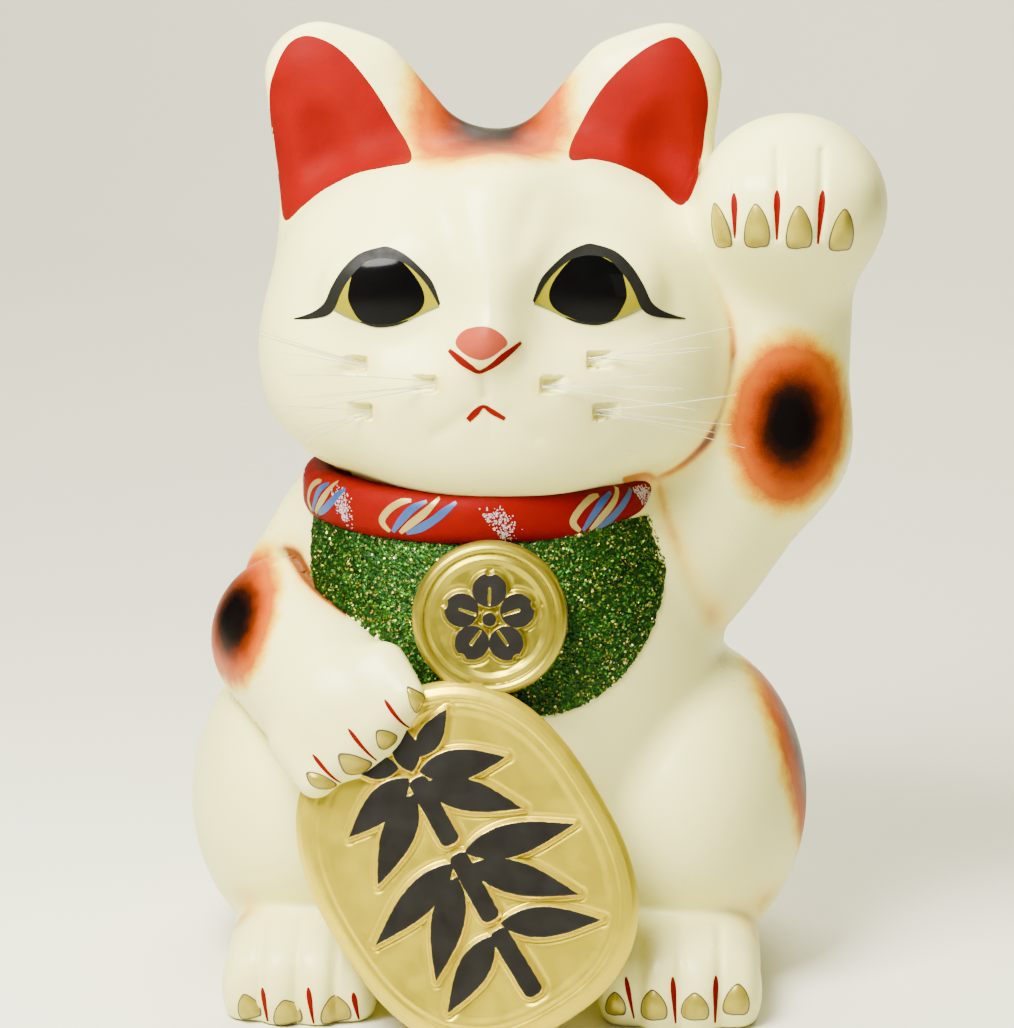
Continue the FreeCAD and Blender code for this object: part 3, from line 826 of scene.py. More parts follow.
# claws as (x, z) of the tip of the nail bed, of the foot of the nail, and its width
CLAWS = (((67.3, 251.6), (70.3, 238.8), 4.8), ((79.4, 252.4), (80.1, 240.0), 7.0),
         ((92.2, 252.1), (92.6, 240.0), 7.2), ((106.1, 250.9), (105.0, 238.8), 6.6),
         ((-75.3, 9.6), (-73.2, 2.2), 6.6), ((-62.6, 9.0), (-61.3, 1.2), 8.2),
         ((-47.7, 9.6), (-46.6, 1.6), 8.6), ((39.1, 11.8), (39.4, 5.2), 5.6),
         ((50.6, 13.8), (51.3, 5.2), 7.4), ((63.6, 13.2), (63.7, 5.4), 7.8),
         ((76.8, 14.9), (76.1, 6.2), 7.4))
# one claw as (across, along), in claw widths and lengths
CLAW = ((0, 1), (0.28, 0.82), (0.47, 0.5), (0.5, 0.2), (0.4, 0), (0.1, -0.03), (-0.1, -0.05),
        (-0.42, 0), (-0.5, 0.22), (-0.42, 0.55), (-0.25, 0.82))
# claws of the lowered paw, seen from the front
PAW_CLAWS = (((-23.7, 108.9), (-20.0, 106.7), (-19.6, 104.2), (-21.3, 101.3), (-22.7, 103.5),
              (-23.5, 106.4)),
             ((-32.9, 96.1), (-30.2, 96.1), (-27.7, 94.1), (-28.3, 91.9), (-30.9, 90.4), (-32.6, 91.9)),
             ((-44.0, 89.0), (-40.7, 89.0), (-37.5, 87.5), (-35.5, 85.9), (-36.1, 84.1), (-38.6, 82.5),
              (-42.0, 83.0), (-43.6, 85.7)),
             ((-53.9, 82.8), (-50.9, 82.8), (-48.0, 81.2), (-46.2, 79.0), (-47.5, 78.0), (-51.3, 78.8),
              (-53.4, 80.6)))
# red toe lines: top, bottom, greatest width
TOE_LINES = (((72.9, 255.4), (73.4, 241.6), 1.9), ((85.7, 256.8), (85.9, 241.8), 2.0),
             ((99.4, 256.8), (98.2, 240.6), 2.0),
             ((-30.9, 105.6), (-23.8, 95.5), 1.3), ((-41.7, 97.2), (-33.5, 86.3), 1.3),
             ((-52.7, 88.5), (-44.4, 79.2), 1.3),
             ((-69.4, 12.4), (-67.9, 1.6), 1.6), ((-55.1, 13.4), (-53.6, 1.4), 1.7),
             ((-41.5, 10.9), (-40.0, 1.4), 1.7),
             ((42.4, 16.7), (45.0, 3.6), 1.5), ((56.7, 17.7), (57.8, 2.8), 1.6),
             ((69.9, 17.8), (69.9, 3.0), 1.6))


def line_between(top, bottom, width):
    """Toe line: quick swell below the top, then a long taper."""
    top, bottom = np.array(top), np.array(bottom)
    steps = (0, 0.12, 0.3, 0.55, 0.8, 1.0)
    points = [top + (bottom - top) * t for t in steps]
    widths = [width * w for w in (0.3, 0.85, 1.0, 0.75, 0.5, 0.3)]
    return stroke_patch(points, widths)


def claw_outline(tip, base, width, grow=0.0):
    """The claw shape between its tip and base, grown by a margin."""
    tip, base = np.array(tip, float), np.array(base, float)
    up = tip - base
    length = np.linalg.norm(up)
    up /= length
    right = np.array([up[1], -up[0]])
    return np.array([base + right * (x * (width + 2 * grow)) + up * (z * (length + 2 * grow) - grow)
                     for x, z in CLAW])


def decal(name, paint_name, *layers):
    """One painted shape, from (patch, lift) for each of its parts."""
    pile = Pile()
    for patch, lift in layers:
        pile.lay(patch, lift)
    pile.build(name, paint_name)


def paint_eye(name, side, centre):
    """Iris, pupil, upper liner and lower lid of one eye."""
    def line(points, count, closed=False):
        return smooth(mirror(points, side, centre), count, closed)
    lid = line(LID, 12)
    decal("eye_%s_iris" % name, "yellow",
          (ribbon_patch(line(LINER_UNDER[3:], 50), line(LID, 50), 10), PAINT_LIFT))
    decal("eye_%s_pupil" % name, "black", (fan_patch(line(PUPIL, 72, True), 9), 0.19))
    decal("eye_%s_liner" % name, "charcoal",
          (ribbon_patch(line(LINER_OVER, 60), line(LINER_UNDER, 60), 4), 0.25),
          (stroke_patch(lid[3:9], (0.3, 0.75, 0.9, 0.9, 0.8, 0.4)), 0.24))
    decal("eye_%s_lower_lid" % name, "olive", (stroke_patch(lid, LID_WIDTHS), 0.21))


def paint_face():
    """Eyes, nose and mouth."""
    for name, (side, centre) in EYES.items():
        paint_eye(name, side, centre)
    decal("nose_pad", "pink", (fan_patch(smooth(NOSE, 48, True), 8), PAINT_LIFT))
    decal("nose_and_mouth_lines", "red",
          (stroke_patch(NOSE_LINE, (1.2, 2.3, 1.9, 1.2, 1.7, 2.1, 0.9)), 0.2),
          (stroke_patch(MOUTH, (1.7, 2.1, 1.1, 1.7, 1.2)), 0.16))


def paint_rest():
    """Ear linings, claws and toe lines."""
    for name, outline in EAR_LINING.items():
        decal("ear_lining_%s" % name, "red", (fan_patch(smooth(outline, 110, True), 26), PAINT_LIFT))
    claws, rims = Pile(), Pile()
    for tip, base, width in CLAWS:
        rims.lay(fan_patch(smooth(claw_outline(tip, base, width, 0.45), 40, True), 4), 0.1)
        claws.lay(fan_patch(smooth(claw_outline(tip, base, width), 40, True), 7), 0.17, 0.9)
    for outline in PAW_CLAWS:
        shape = smooth(outline, 36, True)
        grown = shape.mean(0) + (shape - shape.mean(0)) * 1.16
        rims.lay(fan_patch(grown, 4), 0.1)
        claws.lay(fan_patch(shape, 7), 0.17, 0.7)
    rims.build("claw_outlines", "claw_edge", "gold_paint")
    claws.build("claws_painted", "claw", "gold_paint")
    decal("toe_lines", "red", *((line_between(*line), 0.14) for line in TOE_LINES))


# ------------------------------------------------------------------ clay pieces

# airbrushed patches: centre, half sizes, degrees turned about Y
SPOTS = (((91.5, -32, 181), (17, 60, 24.6), 0), ((-82, -33, 117.5), (12.5, 45, 19.5), 18),
         ((-3, 18, 267), (25, 53, 38), 0), ((100, 5, 66), (60, 30, 27), 0),
         ((40, 64, 58), (15, 15, 15), 0), ((-34, 62, 118), (22, 24, 26), 20))
# faint bursts of orange beside the creases, partly airbrush and partly painted shade under the arms and
# at the ankles: centre, size, strength
CREASE_BURSTS_AND_SHADE = (((88, -48, 25), 9, 0.75), ((-80, -48, 24), 8, 0.6), ((84, -30, 28), 8, 0.5),
          ((70, -24, 118), 6, 0.25), ((-72, -8, 96), 9, 0.4), ((-88, 2, 84), 9, 0.35))


def airbrush_and_painted_shade(p):
    """How far out each point lies in the nearest patch, and the orange-brown crease colour, which is
    partly airbrush and partly painted shade in the creases and whisker pits.
    """
    reach = np.full(len(p), 3.0)
    for centre, size, turn in SPOTS:
        q = p - np.array(centre, float)
        if turn:
            q = q @ rotation((0, turn, 0))
        reach = np.minimum(reach, np.linalg.norm(q / np.array(size, float), axis=1))
    others = np.sort(np.stack(casting_fields(p)), axis=0)[1]
    # painted shade: brown and orange darkening along the creases beside the head, at the shoulder and at
    # the elbow, partly the real airbrushed crease colour
    crease_tint_and_shade = np.zeros(len(p))
    crease = np.maximum(others, 0)
    deep = np.maximum(others - 2.6, 0)
    beside_head = (p[:, 0] > 40) * bump(p[:, 2], 186, 30)
    crease_tint_and_shade += beside_head * (0.95 * bump(deep, 0, 1.3) + 0.3 * bump(deep, 0, 6))
    shoulder = (p[:, 0] < -45) * ramp(p[:, 2], 112, 128)
    crease_tint_and_shade += shoulder * (1.0 * bump(crease, 0, 1.9) + 0.45 * bump(crease, 0, 6))
    elbow = (p[:, 0] > 45) * ramp(-p[:, 2], -160, -145)
    crease_tint_and_shade += elbow * 0.3 * bump(deep, 0, 3)
    # painted shade inside the whisker pits, and orange beside the ankles and under the arms that is
    # partly airbrush and partly painted shade
    for centre, size, strength in (*((pit, 3.2, 0.33) for pit in PITS.values()), *CREASE_BURSTS_AND_SHADE):
        crease_tint_and_shade += strength * bump(np.linalg.norm(p - np.array(centre, float), axis=1), 0, size)
    return reach, crease_tint_and_shade


def shade_from_field(obj):
    """Corner normals from the field, except on cut or hidden faces."""
    mesh = obj.data
    n, loops = len(mesh.vertices), len(mesh.loops)
    co = np.empty(3 * n, np.float32)
    mesh.vertices.foreach_get("co", co)
    g = unit(slope(clay, co.reshape(-1, 3).astype(float) / MM))
    face_normal = np.empty(3 * len(mesh.polygons), np.float32)
    mesh.polygons.foreach_get("normal", face_normal)
    sizes = np.empty(len(mesh.polygons), np.int32)
    mesh.polygons.foreach_get("loop_total", sizes)
    owner = np.repeat(np.arange(len(sizes)), sizes)
    vertex = np.empty(loops, np.int32)
    mesh.loops.foreach_get("vertex_index", vertex)
    flat = face_normal.reshape(-1, 3)[owner]
    smooth_normal = g[vertex]
    keep = (flat * smooth_normal).sum(1) > 0.6
    mesh.normals_split_custom_set(np.where(keep[:, None], smooth_normal, flat).tolist())


def cut(obj, cutter):
    """Takes the cutter's shape out of obj and removes the cutter."""
    modifier = obj.modifiers.new("cut", "BOOLEAN")
    modifier.object = cutter
    modifier.operation = "DIFFERENCE"
    modifier.solver = "EXACT"
    depsgraph = bpy.context.evaluated_depsgraph_get()
    mesh = bpy.data.meshes.new_from_object(obj.evaluated_get(depsgraph))
    obj.modifiers.clear()
    obj.data = mesh
    bpy.data.objects.remove(cutter)


def turned(profile, centre, count=72):
    """Closed solid of revolution about a vertical line; profile of (radius, height), axis to axis."""
    inner = profile[1:-1]
    verts = [(centre[0], centre[1], profile[0][1]), (centre[0], centre[1], profile[-1][1])]
    for r, z in inner:
        for i in range(count):
            a = 2 * math.pi * i / count
            verts.append((centre[0] + r * math.cos(a), centre[1] + r * math.sin(a), z))
    last = 2 + (len(inner) - 1) * count
    faces = hoops(len(inner), count, start=2)
    for i in range(count):
        j = (i + 1) % count
        faces += [(0, 2 + j, 2 + i), (1, last + i, last + j)]
    return verts, faces


def box_solid(low, high):
    """Points and faces of a box."""
    verts = [(x, y, z) for x in (low[0], high[0]) for y in (low[1], high[1]) for z in (low[2], high[2])]
    faces = [(0, 1, 3, 2), (4, 6, 7, 5), (0, 4, 5, 1), (2, 3, 7, 6), (0, 2, 6, 4), (1, 5, 7, 3)]
    return verts, faces


# the record's name for each casting
NODES = {"torso": "torso_casting", "head": "head_casting", "raised": "raised_arm",
         "lowered": "lowered_arm"}
# emptying hole in the base as (radius, height), with the seat for the stopper's flange
EMPTYING_HOLE = ((0, -1), (20, -1), (20, 2.8), (15, 2.8), (15, 46), (0, 46))
HOLE_CENTRE = (0, 34)
COIN_SLOT = ((-18, 38, 224.2), (18, 80, 227.8))


def build_clay():
    """The four glazed castings, with the coin slot and the emptying hole cut."""
    for name, (verts, faces) in clay_skins().items():
        obj = piece(NODES[name] + "_glazed", verts, faces, "glaze")
        # the patches, and the crease colour that is partly airbrush and partly painted shade
        reach, crease_tint_and_shade = airbrush_and_painted_shade(verts)
        set_values(obj, "spot", reach)
        set_values(obj, "crease_tint_and_shade", crease_tint_and_shade)
        if name == "torso":
            cut(obj, linked("cutter", *turned(EMPTYING_HOLE, HOLE_CENTRE)))
        if name == "head":
            cut(obj, linked("cutter", *box_solid(*COIN_SLOT)))
        shade_from_field(obj)
        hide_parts(NODES[name])


# ------------------------------------------------------------------ front pieces

def stand(points, origin, lean, turn=0.0):
    """Points drawn in XY facing +Z, stood up to face -Y and leaning back."""
    return points @ (rotation((90 - lean, 0, 0)) @ rotation((0, 0, turn))).T + np.array(origin, float)


# bamboo on the plaque: leaves as (root, tip, half width), joints of the cane as (start, end)
LEAVES = (((32, -3), (22, -28), 5.2), ((28, -2), (6, -24), 5.2), ((4, -2), (-6, -35), 5.4),
          ((0, -1), (-25, -25), 5.4), ((-20, 0), (-35, -27), 5.0),
          ((32, 1), (26, 26), 5.2), ((27, 2), (9, 26), 5.4), ((3, 3), (-6, 36), 5.2),
          ((-1, 4), (-25, 26), 5.4), ((-22, 4), (-35, 28), 5.0),
          ((33, -1), (49, -5), 4.4), ((36, -5), (44, -20), 4.0), ((36, 2), (45, 15), 4.0))
CANE = (((-44, 2), (-21, 2)), ((-18, 1.5), (5, 0.5)), ((8, 0), (31, -1)))


def from_segment(x, y, start, end):
    """Place along a segment (0 to 1, unclamped), distance off it, and its length."""
    sx, sy = start
    dx, dy = end[0] - sx, end[1] - sy
    length = math.hypot(dx, dy)
    t = ((x - sx) * dx + (y - sy) * dy) / length ** 2
    off = np.abs((x - sx) * dy - (y - sy) * dx) / length
    return t, off, length


def spray(x, y):
    """Distance to the bamboo spray's outline, negative inside."""
    d = np.full(x.shape, 50.0)
    for start, end, half in LEAVES:
        t, off, length = from_segment(x, y, start, end)
        s = np.clip(t, 0, 1)
        width = (half - 0.3) * np.sin(math.pi * s ** 0.75)
        d = np.minimum(d, np.hypot(np.maximum(off - width, 0), (t - s) * length)
                       + np.minimum(off - width, 0) * (t == s))
    for start, end in CANE:
        t, off, length = from_segment(x, y, start, end)
        along = (np.abs(t - 0.5) - 0.5) * length
        qx, qy = np.maximum(along + 2.2, 0), np.maximum(off - 0.8, 0)
        d = np.minimum(d, np.hypot(qx, qy) - 2.2)
    return d


def blossom(x, y):
    """Distance to the five-petalled blossom's outline."""
    d = np.full(x.shape, 50.0)
    for i in range(5):
        a = math.radians(90 + 72 * i)
        c, s = math.cos(a), math.sin(a)
        petal = np.hypot(x - 8.9 * c, y - 8.9 * s) - 5.3
        notch = np.hypot(x - 15.4 * c, y - 15.4 * s) - 2.0
        t, off, length = from_segment(x, y, (4.6 * c, 4.6 * s), (9.4 * c, 9.4 * s))
        vein = np.hypot(off, (t - np.clip(t, 0, 1)) * length) - 0.4
        d = np.minimum(d, np.maximum(np.maximum(petal, -notch), -vein))
    return np.minimum(d, np.hypot(x, y) - 2.2)


def raised_work(d, top, bevel):
    """Height of inked relief: flat top, sloping wall, small trough at its foot."""
    wall = 1 - ramp(d, -0.1, bevel)
    return top * wall - 0.35 * bump(d, bevel + 0.5, 0.7)


def square_to_round(n, radius):
    """Points of an even grid bent to fill a rounded outline, its quads and rim."""
    s = np.linspace(-1, 1, n)
    a, b = np.meshgrid(s, s, indexing="ij")
    x = a * np.sqrt(1 - b * b / 2)
    y = b * np.sqrt(1 - a * a / 2)
    angle = np.arctan2(y, x)
    r = radius(angle)
    index = np.arange(n * n).reshape(n, n)
    quads = np.stack([index[:-1, :-1], index[1:, :-1], index[1:, 1:], index[:-1, 1:]], -1)
    rim = np.concatenate([index[:-1, 0], index[-1, :-1], index[:0:-1, -1], index[0, :0:-1]])
    return (x * r).ravel(), (y * r).ravel(), quads.reshape(-1, 4), rim


def relief_object(name, paint_name, n, radius, height, ink, depth, place, round_back):
    """Plate with a modelled front: fine front grid, a few side rows and a plain back."""
    x, y, quads, rim = square_to_round(n, radius)
    d = ink(x, y)
    z = height(x, y, d)
    verts = [np.stack([x, y, z], 1)]
    faces = quads.tolist()
    previous = rim
    count = len(x)
    m = len(rim)
    edge = verts[0][rim]
    for level, grow in round_back:
        row = edge * np.array([grow, grow, 0]) + np.array([0, 0, level])
        verts.append(row)
        current = np.arange(count, count + m)
        faces += [(int(previous[(i + 1) % m]), int(previous[i]), int(current[i]),
                   int(current[(i + 1) % m])) for i in range(m)]
        previous = current
        count += m
    verts.append(np.array([[0, 0, -depth]]))
    faces += [(int(previous[(i + 1) % m]), int(previous[i]), count) for i in range(m)]
    values = np.full(count + 1, 1.0)
    values[:len(x)] = np.clip(0.5 + d * 0.1, 0, 1)
    obj = piece(name, place(np.concatenate(verts)), faces, paint_name)
    set_values(obj, "ink", values)
    obj.data.set_sharp_from_angle(angle=math.radians(60))
    return obj


def oval(a, b, power):
    """Radius at an angle of a superellipse with half axes a and b."""
    def radius(angle):
        return (np.abs(np.cos(angle) / a) ** power + np.abs(np.sin(angle) / b) ** power) ** (-1 / power)
    return radius


def build_plaque():
    """Coin plaque: flat field, double rim and bamboo spray, leaning on the belly."""
    edge = oval(55.9, 45.9, 2.5)

    def height(x, y, d):
        s = np.hypot(x, y) / edge(np.arctan2(y, x))
        z = np.interp(s, (0, 0.86, 0.885, 0.905, 0.93, 0.965, 0.985, 1.0),
                      (0, 0, -0.35, 0.0, -0.25, -1.0, -2.2, -3.4))
        hollow = -0.5 * ramp(-s, -0.86, -0.80)
        return z + hollow + raised_work(d, 1.9, 1.2)

    def place(p):
        q = stand(p, (-6.1, -87.6, 54.6), 13.4, 122.0)
        q[:, 2] = np.maximum(q[:, 2], 0.25)
        return q
    obj = relief_object("coin_plaque_relief", "plaque", 280, edge, height, spray,
                        8.9, place, ((-4.6, 1.0), (-6.4, 1.0), (-8.2, 0.985), (-8.9, 0.95)))
    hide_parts("coin_plaque")


def build_medallion():
    """Medallion: two raised rings, rippled field and blossom."""
    edge = oval(23.7, 23.7, 2.0)

    def height(x, y, d):
        s = np.hypot(x, y)
        z = np.interp(s, (0, 16.3, 17.2, 18.2, 19.1, 19.9, 20.4, 21.4, 22.4, 23.2, 23.7),
                      (-0.25, -0.1, 0.35, 0.8, 0.35, 0.0, 0.9, 1.4, 1.0, 0.0, -1.3))
        angle = np.arctan2(y, x)
        ripple = 0.18 * np.sin(angle * 11 + 1.3) * bump(s, 15.4, 1.6)
        ripple += 0.08 * np.sin(angle * 7) * bump(s, 18.4, 1.4)
        return z + ripple + raised_work(d, 1.5, 1.0)

    def place(p):
        return stand(p, (0.1, -68.5, 127.2), 8.0)
    obj = relief_object("medallion_relief", "medal", 200, edge, height, blossom,
                        8.5, place, ((-3.0, 1.0), (-5.5, 1.0), (-8.4, 0.99)))
    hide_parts("medallion")


# ------------------------------------------------------------------ collar, bib, whiskers

COLLAR = (-3.5, -1.0, 155.0)       # middle of the band
COLLAR_SIZE = (59.3, 57.0, 8.5)    # outside half axes and half height
COLLAR_DEEP = 7.0                  # thickness from front to back
COLLAR_POWER = 3.2                 # squareness of its section


def collar_point(angle, b, out=0.0):
    """Point of the band at an angle from straight ahead and b round its section."""
    c, s = math.cos(b), math.sin(b)
    k = (abs(c) ** COLLAR_POWER + abs(s) ** COLLAR_POWER) ** (-1 / COLLAR_POWER)
    wave = 0.25 * math.sin(5 * angle + 0.6) + 0.15 * math.sin(11 * angle)
    inset = COLLAR_DEEP * (1 - k * c) - out
    return (COLLAR[0] + (COLLAR_SIZE[0] - 0.1 - inset) * math.sin(angle),
            COLLAR[1] - (COLLAR_SIZE[1] - 0.1 - inset) * math.cos(angle),
            COLLAR[2] + (COLLAR_SIZE[2] - 0.45) * k * s + wave * (1 if s > 0 else 0.6))


def build_collar():
    """Collar band, closed round the neck."""
    around, section = 240, 36
    verts = [collar_point(2 * math.pi * i / around, 2 * math.pi * j / section)
             for i in range(around) for j in range(section)]
    faces = []
    for i in range(around):
        for j in range(section):
            a, b = i * section, (i + 1) % around * section
            k = (j + 1) % section
            faces.append((a + j, b + j, b + k, a + k))
    obj = piece("collar_band_enamel", verts, faces, "red")
    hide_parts("collar_band")


def on_collar(flat, out):
    """(arc length from the front, height) to points on the band's outer face."""
    points = []
    for s, h in flat:
        rise = min(max(h / (COLLAR_SIZE[2] - 0.45), -0.97), 0.97)
        b = math.atan2(rise, (1 - abs(rise) ** COLLAR_POWER) ** (1 / COLLAR_POWER))
        points.append(collar_point(s / COLLAR_SIZE[0], b, out))
    return np.array(points)


# brush strokes of one motif: colour, centre line (along, up), width
MOTIF = (("motif_gold", ((-8.6, -4.9), (-11.0, -2.0), (-8.6, 1.6), (-5.0, 4.0), (-1.9, 4.7)), 2.3),
         ("blue", ((-7.6, -4.9), (-4.6, -1.0), (-1.2, 2.6), (2.8, 4.9)), 2.4),
         ("motif_gold", ((-5.2, -4.9), (-1.8, -2.0), (2.6, 1.8), (6.3, 6.0)), 2.3),
         ("blue", ((-3.2, -4.9), (1.2, -2.9), (5.2, -0.2), (8.4, 2.6), (11.4, 5.0)), 2.5))
# middles of the motifs and of the dabs, as arc length from the front and height
MOTIF_PLACES = ((-19.8, 0.6), (41.8, 1.0), (-61.0, 0.6), (104.0, 0.5), (-128.0, 0.5), (166.0, 0.5))
DAB_PLACES = ((-50.0, 0), (5.5, -1.5), (60.0, 2), (-88, 0), (84, 0), (132, 0), (-150, 0))
DABS = 240                         # flecks in one dab
FIFTH_TURN = 1.257


def paint_collar():
    """Brushed motifs and sponged dabs round the collar."""
    piles = {"motif_gold": Pile(), "blue": Pile()}
    for arc, lift in MOTIF_PLACES:
        for colour, line, width in MOTIF:
            points = [(arc + x * 1.1, lift + z * 1.08) for x, z in line]
            widths = [width * k for k in np.interp(np.linspace(0, 1, len(line)), (0, 0.15, 0.7, 1),
                                                   (0.5, 1, 1, 0.4))]
            flat, faces, rim = stroke_patch(points, widths)
            a = on_collar(flat, 0.08 if colour == "blue" else 0.13)
            away = a.mean(0) - np.array(COLLAR)
            piles[colour].add(*plate(a, on_collar(flat, -0.3), faces, rim, away))
    piles["motif_gold"].build("collar_motif_gold", "motif_gold")
    piles["blue"].build("collar_motif_blue", "blue")
    rng = np.random.default_rng(7)
    dabs = Pile()
    for arc, lift in DAB_PLACES:
        for _ in range(DABS):
            turn = rng.uniform(-0.6, 2.4)
            r = rng.normal(3.9, 1.5)
            s, h = arc - 1.5 + r * math.sin(turn) * 1.1, lift - 1.0 + r * math.cos(turn) * 1.1
            if abs(h) > 6.5:
                continue
            size = rng.uniform(0.12, 0.3)
            start = rng.uniform(0, 6.3)
            ring = np.array([(s + size * math.cos(start + k * FIFTH_TURN) * rng.uniform(0.6, 1.4),
                              h + size * math.sin(start + k * FIFTH_TURN) * rng.uniform(0.6, 1.4))
                             for k in range(5)])
            flat, faces, rim = fan_patch(ring, 1)
            a = on_collar(flat, 0.06)
            dabs.add(*plate(a, on_collar(flat, -0.15), faces, rim, a.mean(0) - np.array(COLLAR)))
    dabs.build("collar_dabs", "dab")


# lower edge of the bib in the front view
BIB = ((-58, 152), (-57, 132), (-49, 113), (-35, 101), (-18, 96.5), (-4, 100), (6, 98.5), (17, 95.5),
       (30, 99), (43, 109), (52, 127), (54, 152))
BIB_TOP = 152.0
MEDALLION_AT = (0.1, 127.2)        # its middle in the front view
GRAINS = 13500                     # spots drawn for the grains
GRAIN_HALF = 0.035                 # half thickness of a grain


def build_bib():
    """Bib of glue and dust with a grain of glitter on every free spot."""
    rng = np.random.default_rng(11)
    low = smooth(BIB, 150)
    across = np.linspace(54, -58, 60)[1:-1]
    top = np.stack([across, np.full(58, BIB_TOP)], 1)
    outline = np.concatenate([low, top])
    frayed = outline + rng.normal(0, 0.22, outline.shape) * (outline[:, 1:] < BIB_TOP - 1)
    flat, faces, rim = fan_patch(frayed, 22)
    flat[1:-len(frayed)] += rng.normal(0, 0.2, (len(flat) - 1 - len(frayed), 2))
    p, n = press(flat, torso, -90.0)
    thick = 0.42 + rng.uniform(-0.18, 0.18, len(p))
    pile = Pile()
    verts, solid = plate(p + n * thick[:, None], p - n * 0.4, faces, rim, np.array([0, -1, 0.2]))
    pile.add(verts, solid)
    pile.values = list(rng.uniform(0.0, 0.45, len(verts)))
    share = rng.uniform(0, 1, (GRAINS * 3, 2))
    spots = np.array([-58, 95.5]) + share * np.array([112, 56.5])
    spots = spots[inside(spots, outline)][:GRAINS]
    spots = spots[np.linalg.norm(spots - MEDALLION_AT, axis=1) >= 22]
    p, n = press(spots, torso, -90.0)
    clear = figure(p) > -0.6
    for q, normal in zip(p[clear], n[clear]):
        tilt = unit(normal + rng.normal(0, 0.5, 3))
        one = unit(np.cross(tilt, rng.normal(0, 1, 3)))
        two = np.cross(tilt, one)
        size = rng.uniform(0.32, 0.62)
        middle = q + normal * (0.5 + rng.uniform(0, 0.16))
        corners = [middle + size * (one * math.cos(k) + two * math.sin(k) * 0.8)
                   for k in (0.2, 1.7, 3.3, 4.9)]
        corners = np.array([c + tilt * GRAIN_HALF for c in corners]
                           + [c - tilt * GRAIN_HALF for c in corners])
        pile.add(corners, [(0, 1, 2, 3), (7, 6, 5, 4), (0, 4, 5, 1), (1, 5, 6, 2), (2, 6, 7, 3),
                           (3, 7, 4, 0)], rng.uniform(0, 1))
    obj = piece("glitter_bib_grains", np.concatenate(pile.verts), pile.faces, "glitter", smooth=False)
    set_values(obj, "grain", pile.values)
    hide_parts("glitter_bib")


def inside(points, outline):
    """True for the points that lie inside a closed outline."""
    x, z = points[:, 0], points[:, 1]
    result = np.zeros(len(points), bool)
    for (x0, z0), (x1, z1) in zip(outline, np.roll(outline, -1, axis=0)):
        crosses = (z0 > z) != (z1 > z)
        if z1 != z0:
            result ^= crosses & (x < x0 + (z - z0) * (x1 - x0) / (z1 - z0))
    return result


# tips of the three longest hairs of each tuft
WHISKERS = {
    "left_upper": ((-82, -68, 220), (-71, -65, 214), (-64, -58, 207)),
    "left_inner": ((-60, -80, 204), (-63, -76, 191), (-52, -79, 197)),
    "left_lower": ((-83, -66, 193), (-73, -63, 173), (-63, -66, 181)),
    "right_upper": ((73, -70, 218), (63, -66, 210), (60, -61, 204)),
    "right_inner": ((58, -80, 201), (62, -77, 194), (50, -79, 205)),
    "right_lower": ((74, -68, 197), (68, -66, 185), (77, -64, 180)),
}
HAIR_RADIUS = 0.15


def build_whiskers():
    """Four bent tapering hairs in each pit."""
    rng = np.random.default_rng(3)
    steps, sides = 18, 7
    for name, tips in WHISKERS.items():
        root = PITS[name]
        side = 1 if root[0] > 0 else -1
        pile = Pile()
        mean = np.mean(tips, axis=0)
        for tip in [*tips, tuple(mean + rng.normal(0, 1.2, 3))]:
            start = np.array(root) + (-0.6 * side, 1.4, rng.uniform(-1.2, 1.2))
            end = np.array(tip, float)
            droop = np.array([0, 0, rng.uniform(-1.6, 1.6)])
            centre = 0.5 * (start + end) + droop
            rings = []
            for t in np.linspace(0, 1, steps):
                q = (1 - t) ** 2 * start + 2 * t * (1 - t) * centre + t * t * end
                along = unit((1 - t) * (centre - start) + t * (end - centre))
                one = unit(np.cross(along, (0, 0, 1)))
                two = np.cross(along, one)
                r = HAIR_RADIUS * (1 - 0.65 * t)
                rings.append([q + r * (one * math.cos(a) + two * math.sin(a))
                              for a in np.arange(sides) * 2 * math.pi / sides])
            verts = np.array(rings).reshape(-1, 3)
            faces = hoops(steps, sides)
            faces.append(tuple(range(sides - 1, -1, -1)))
            faces.append(tuple((steps - 1) * sides + i for i in range(sides)))
            pile.add(verts, faces)
        obj = pile.build("whiskers_%s_bent" % name, "hair", "whisker_nylon")
        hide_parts("whiskers_" + name)


# ------------------------------------------------------------------ stage

SWEEP = 2600.0          # half width of the floor, and the backdrop's height


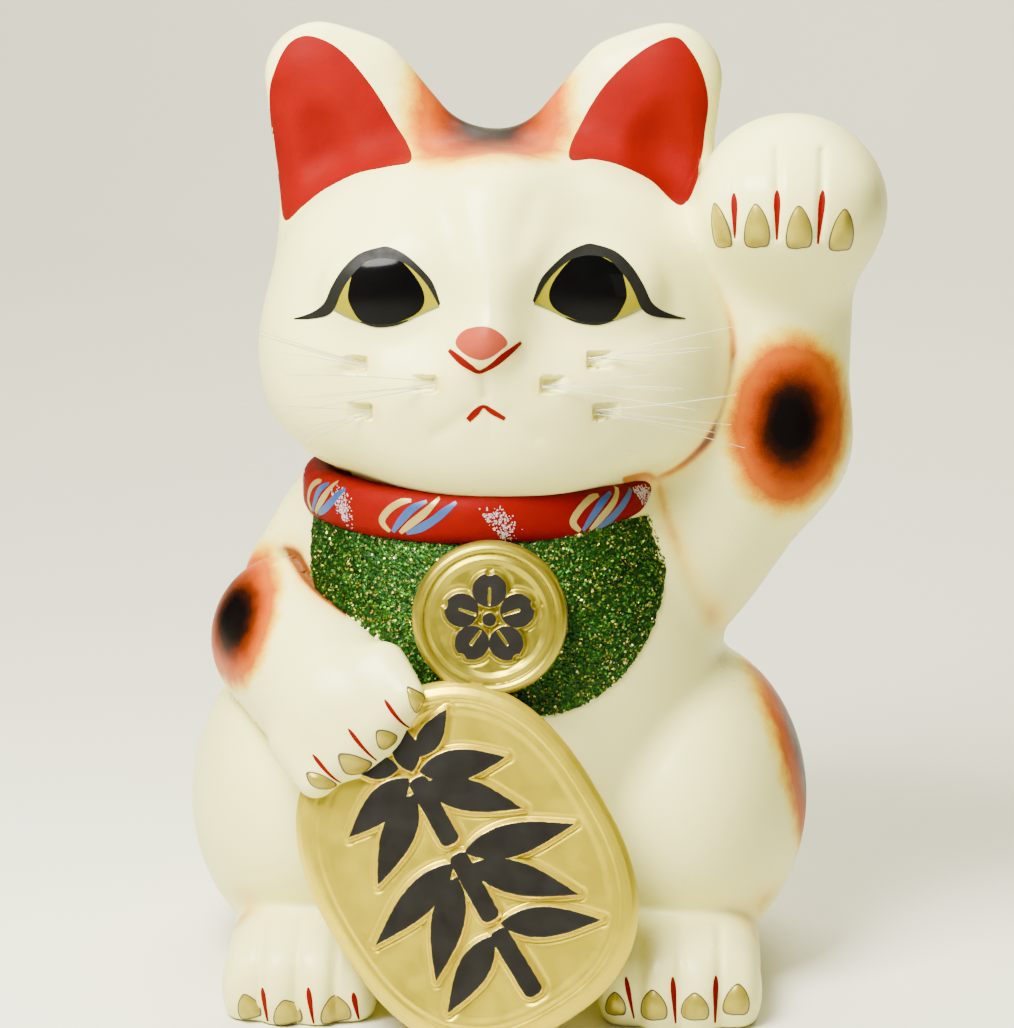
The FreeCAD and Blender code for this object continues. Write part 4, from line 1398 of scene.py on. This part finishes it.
def build_stage():
    """Pale floor that sweeps up behind."""
    floor, tree, shader = new_material("studio_floor")
    tone = tree_range(tree, tree_noise(tree, 3, 3.0), 0, 1)
    tree.links.new(tree_mix(tree, tone, (0.77, 0.76, 0.59), (0.80, 0.79, 0.62)),
                   shader.inputs["Base Color"])
    tree.links.new(tree_range(tree, tree_noise(tree, 40, 4.0), 0.55, 0.7), shader.inputs["Roughness"])
    rows = [(-SWEEP, 0)]
    for k in range(13):
        a = math.radians(90 * k / 12)
        rows.append((1500 + 600 * math.sin(a), 600 - 600 * math.cos(a)))
    rows.append((2100, SWEEP))
    verts = [(x, y, z - 0.02) for y, z in rows for x in (-SWEEP, SWEEP)]
    faces = [(2 * k, 2 * k + 1, 2 * k + 3, 2 * k + 2) for k in range(len(rows) - 1)]
    linked("studio_sweep", verts, faces, floor, smooth=True)


def lamp(name, place, aim, size, power, colour):
    """Softbox with its sides in metres and its power in watts."""
    data = bpy.data.lights.new(name, "AREA")
    data.shape = "RECTANGLE"
    data.size, data.size_y = size
    data.energy = power
    data.color = colour
    obj = bpy.data.objects.new(name, data)
    obj.location = Vector(place) * MM
    obj.rotation_euler = (Vector(aim) - Vector(place)).to_track_quat("-Z", "Y").to_euler()
    SCENE.collection.objects.link(obj)


def build_light():
    """High soft key, weak fill, a lamp over the backdrop and a dim surround."""
    lamp("key", (-240, -360, 660), (0, 0, 150), (0.34, 0.34), 24, (1.0, 0.985, 0.95))
    lamp("fill", (700, -1000, 380), (0, 0, 140), (0.7, 0.7), 1.6, (1.0, 0.96, 0.88))
    lamp("back", (100, 1000, 1700), (0, 1150, 0), (1.5, 1.5), 72, (1.0, 0.985, 0.86))
    world = bpy.data.worlds.new("studio")
    world.use_nodes = True
    sky = world.node_tree.nodes["Background"].inputs
    sky["Color"].default_value = (1.0, 0.97, 0.90, 1)
    sky["Strength"].default_value = 0.055
    SCENE.world = world


def build_camera():
    """Camera at the angle of the photograph."""
    azimuth, elevation, distance = math.radians(2.5), math.radians(12), 1200
    look = Vector((-math.sin(azimuth) * math.cos(elevation), math.cos(azimuth) * math.cos(elevation),
                   -math.sin(elevation)))
    data = bpy.data.cameras.new("photo_view")
    data.sensor_width = 36
    data.lens = 131.1
    data.shift_x = 0.0078
    data.shift_y = -0.0147
    data.clip_end = 20
    obj = bpy.data.objects.new("photo_view", data)
    obj.location = (Vector((0, 0, 150)) - look * distance) * MM
    obj.rotation_euler = look.to_track_quat("-Z", "Y").to_euler()
    SCENE.collection.objects.link(obj)
    SCENE.camera = obj


build_clay()
paint_face()
paint_rest()
build_plaque()
build_medallion()
build_collar()
paint_collar()
build_bib()
build_whiskers()

stopper = bpy.data.objects["base_stopper"]
stopper.data.materials.clear()
stopper.data.materials.append(PAINT["rubber"])

build_stage()
build_light()
build_camera()
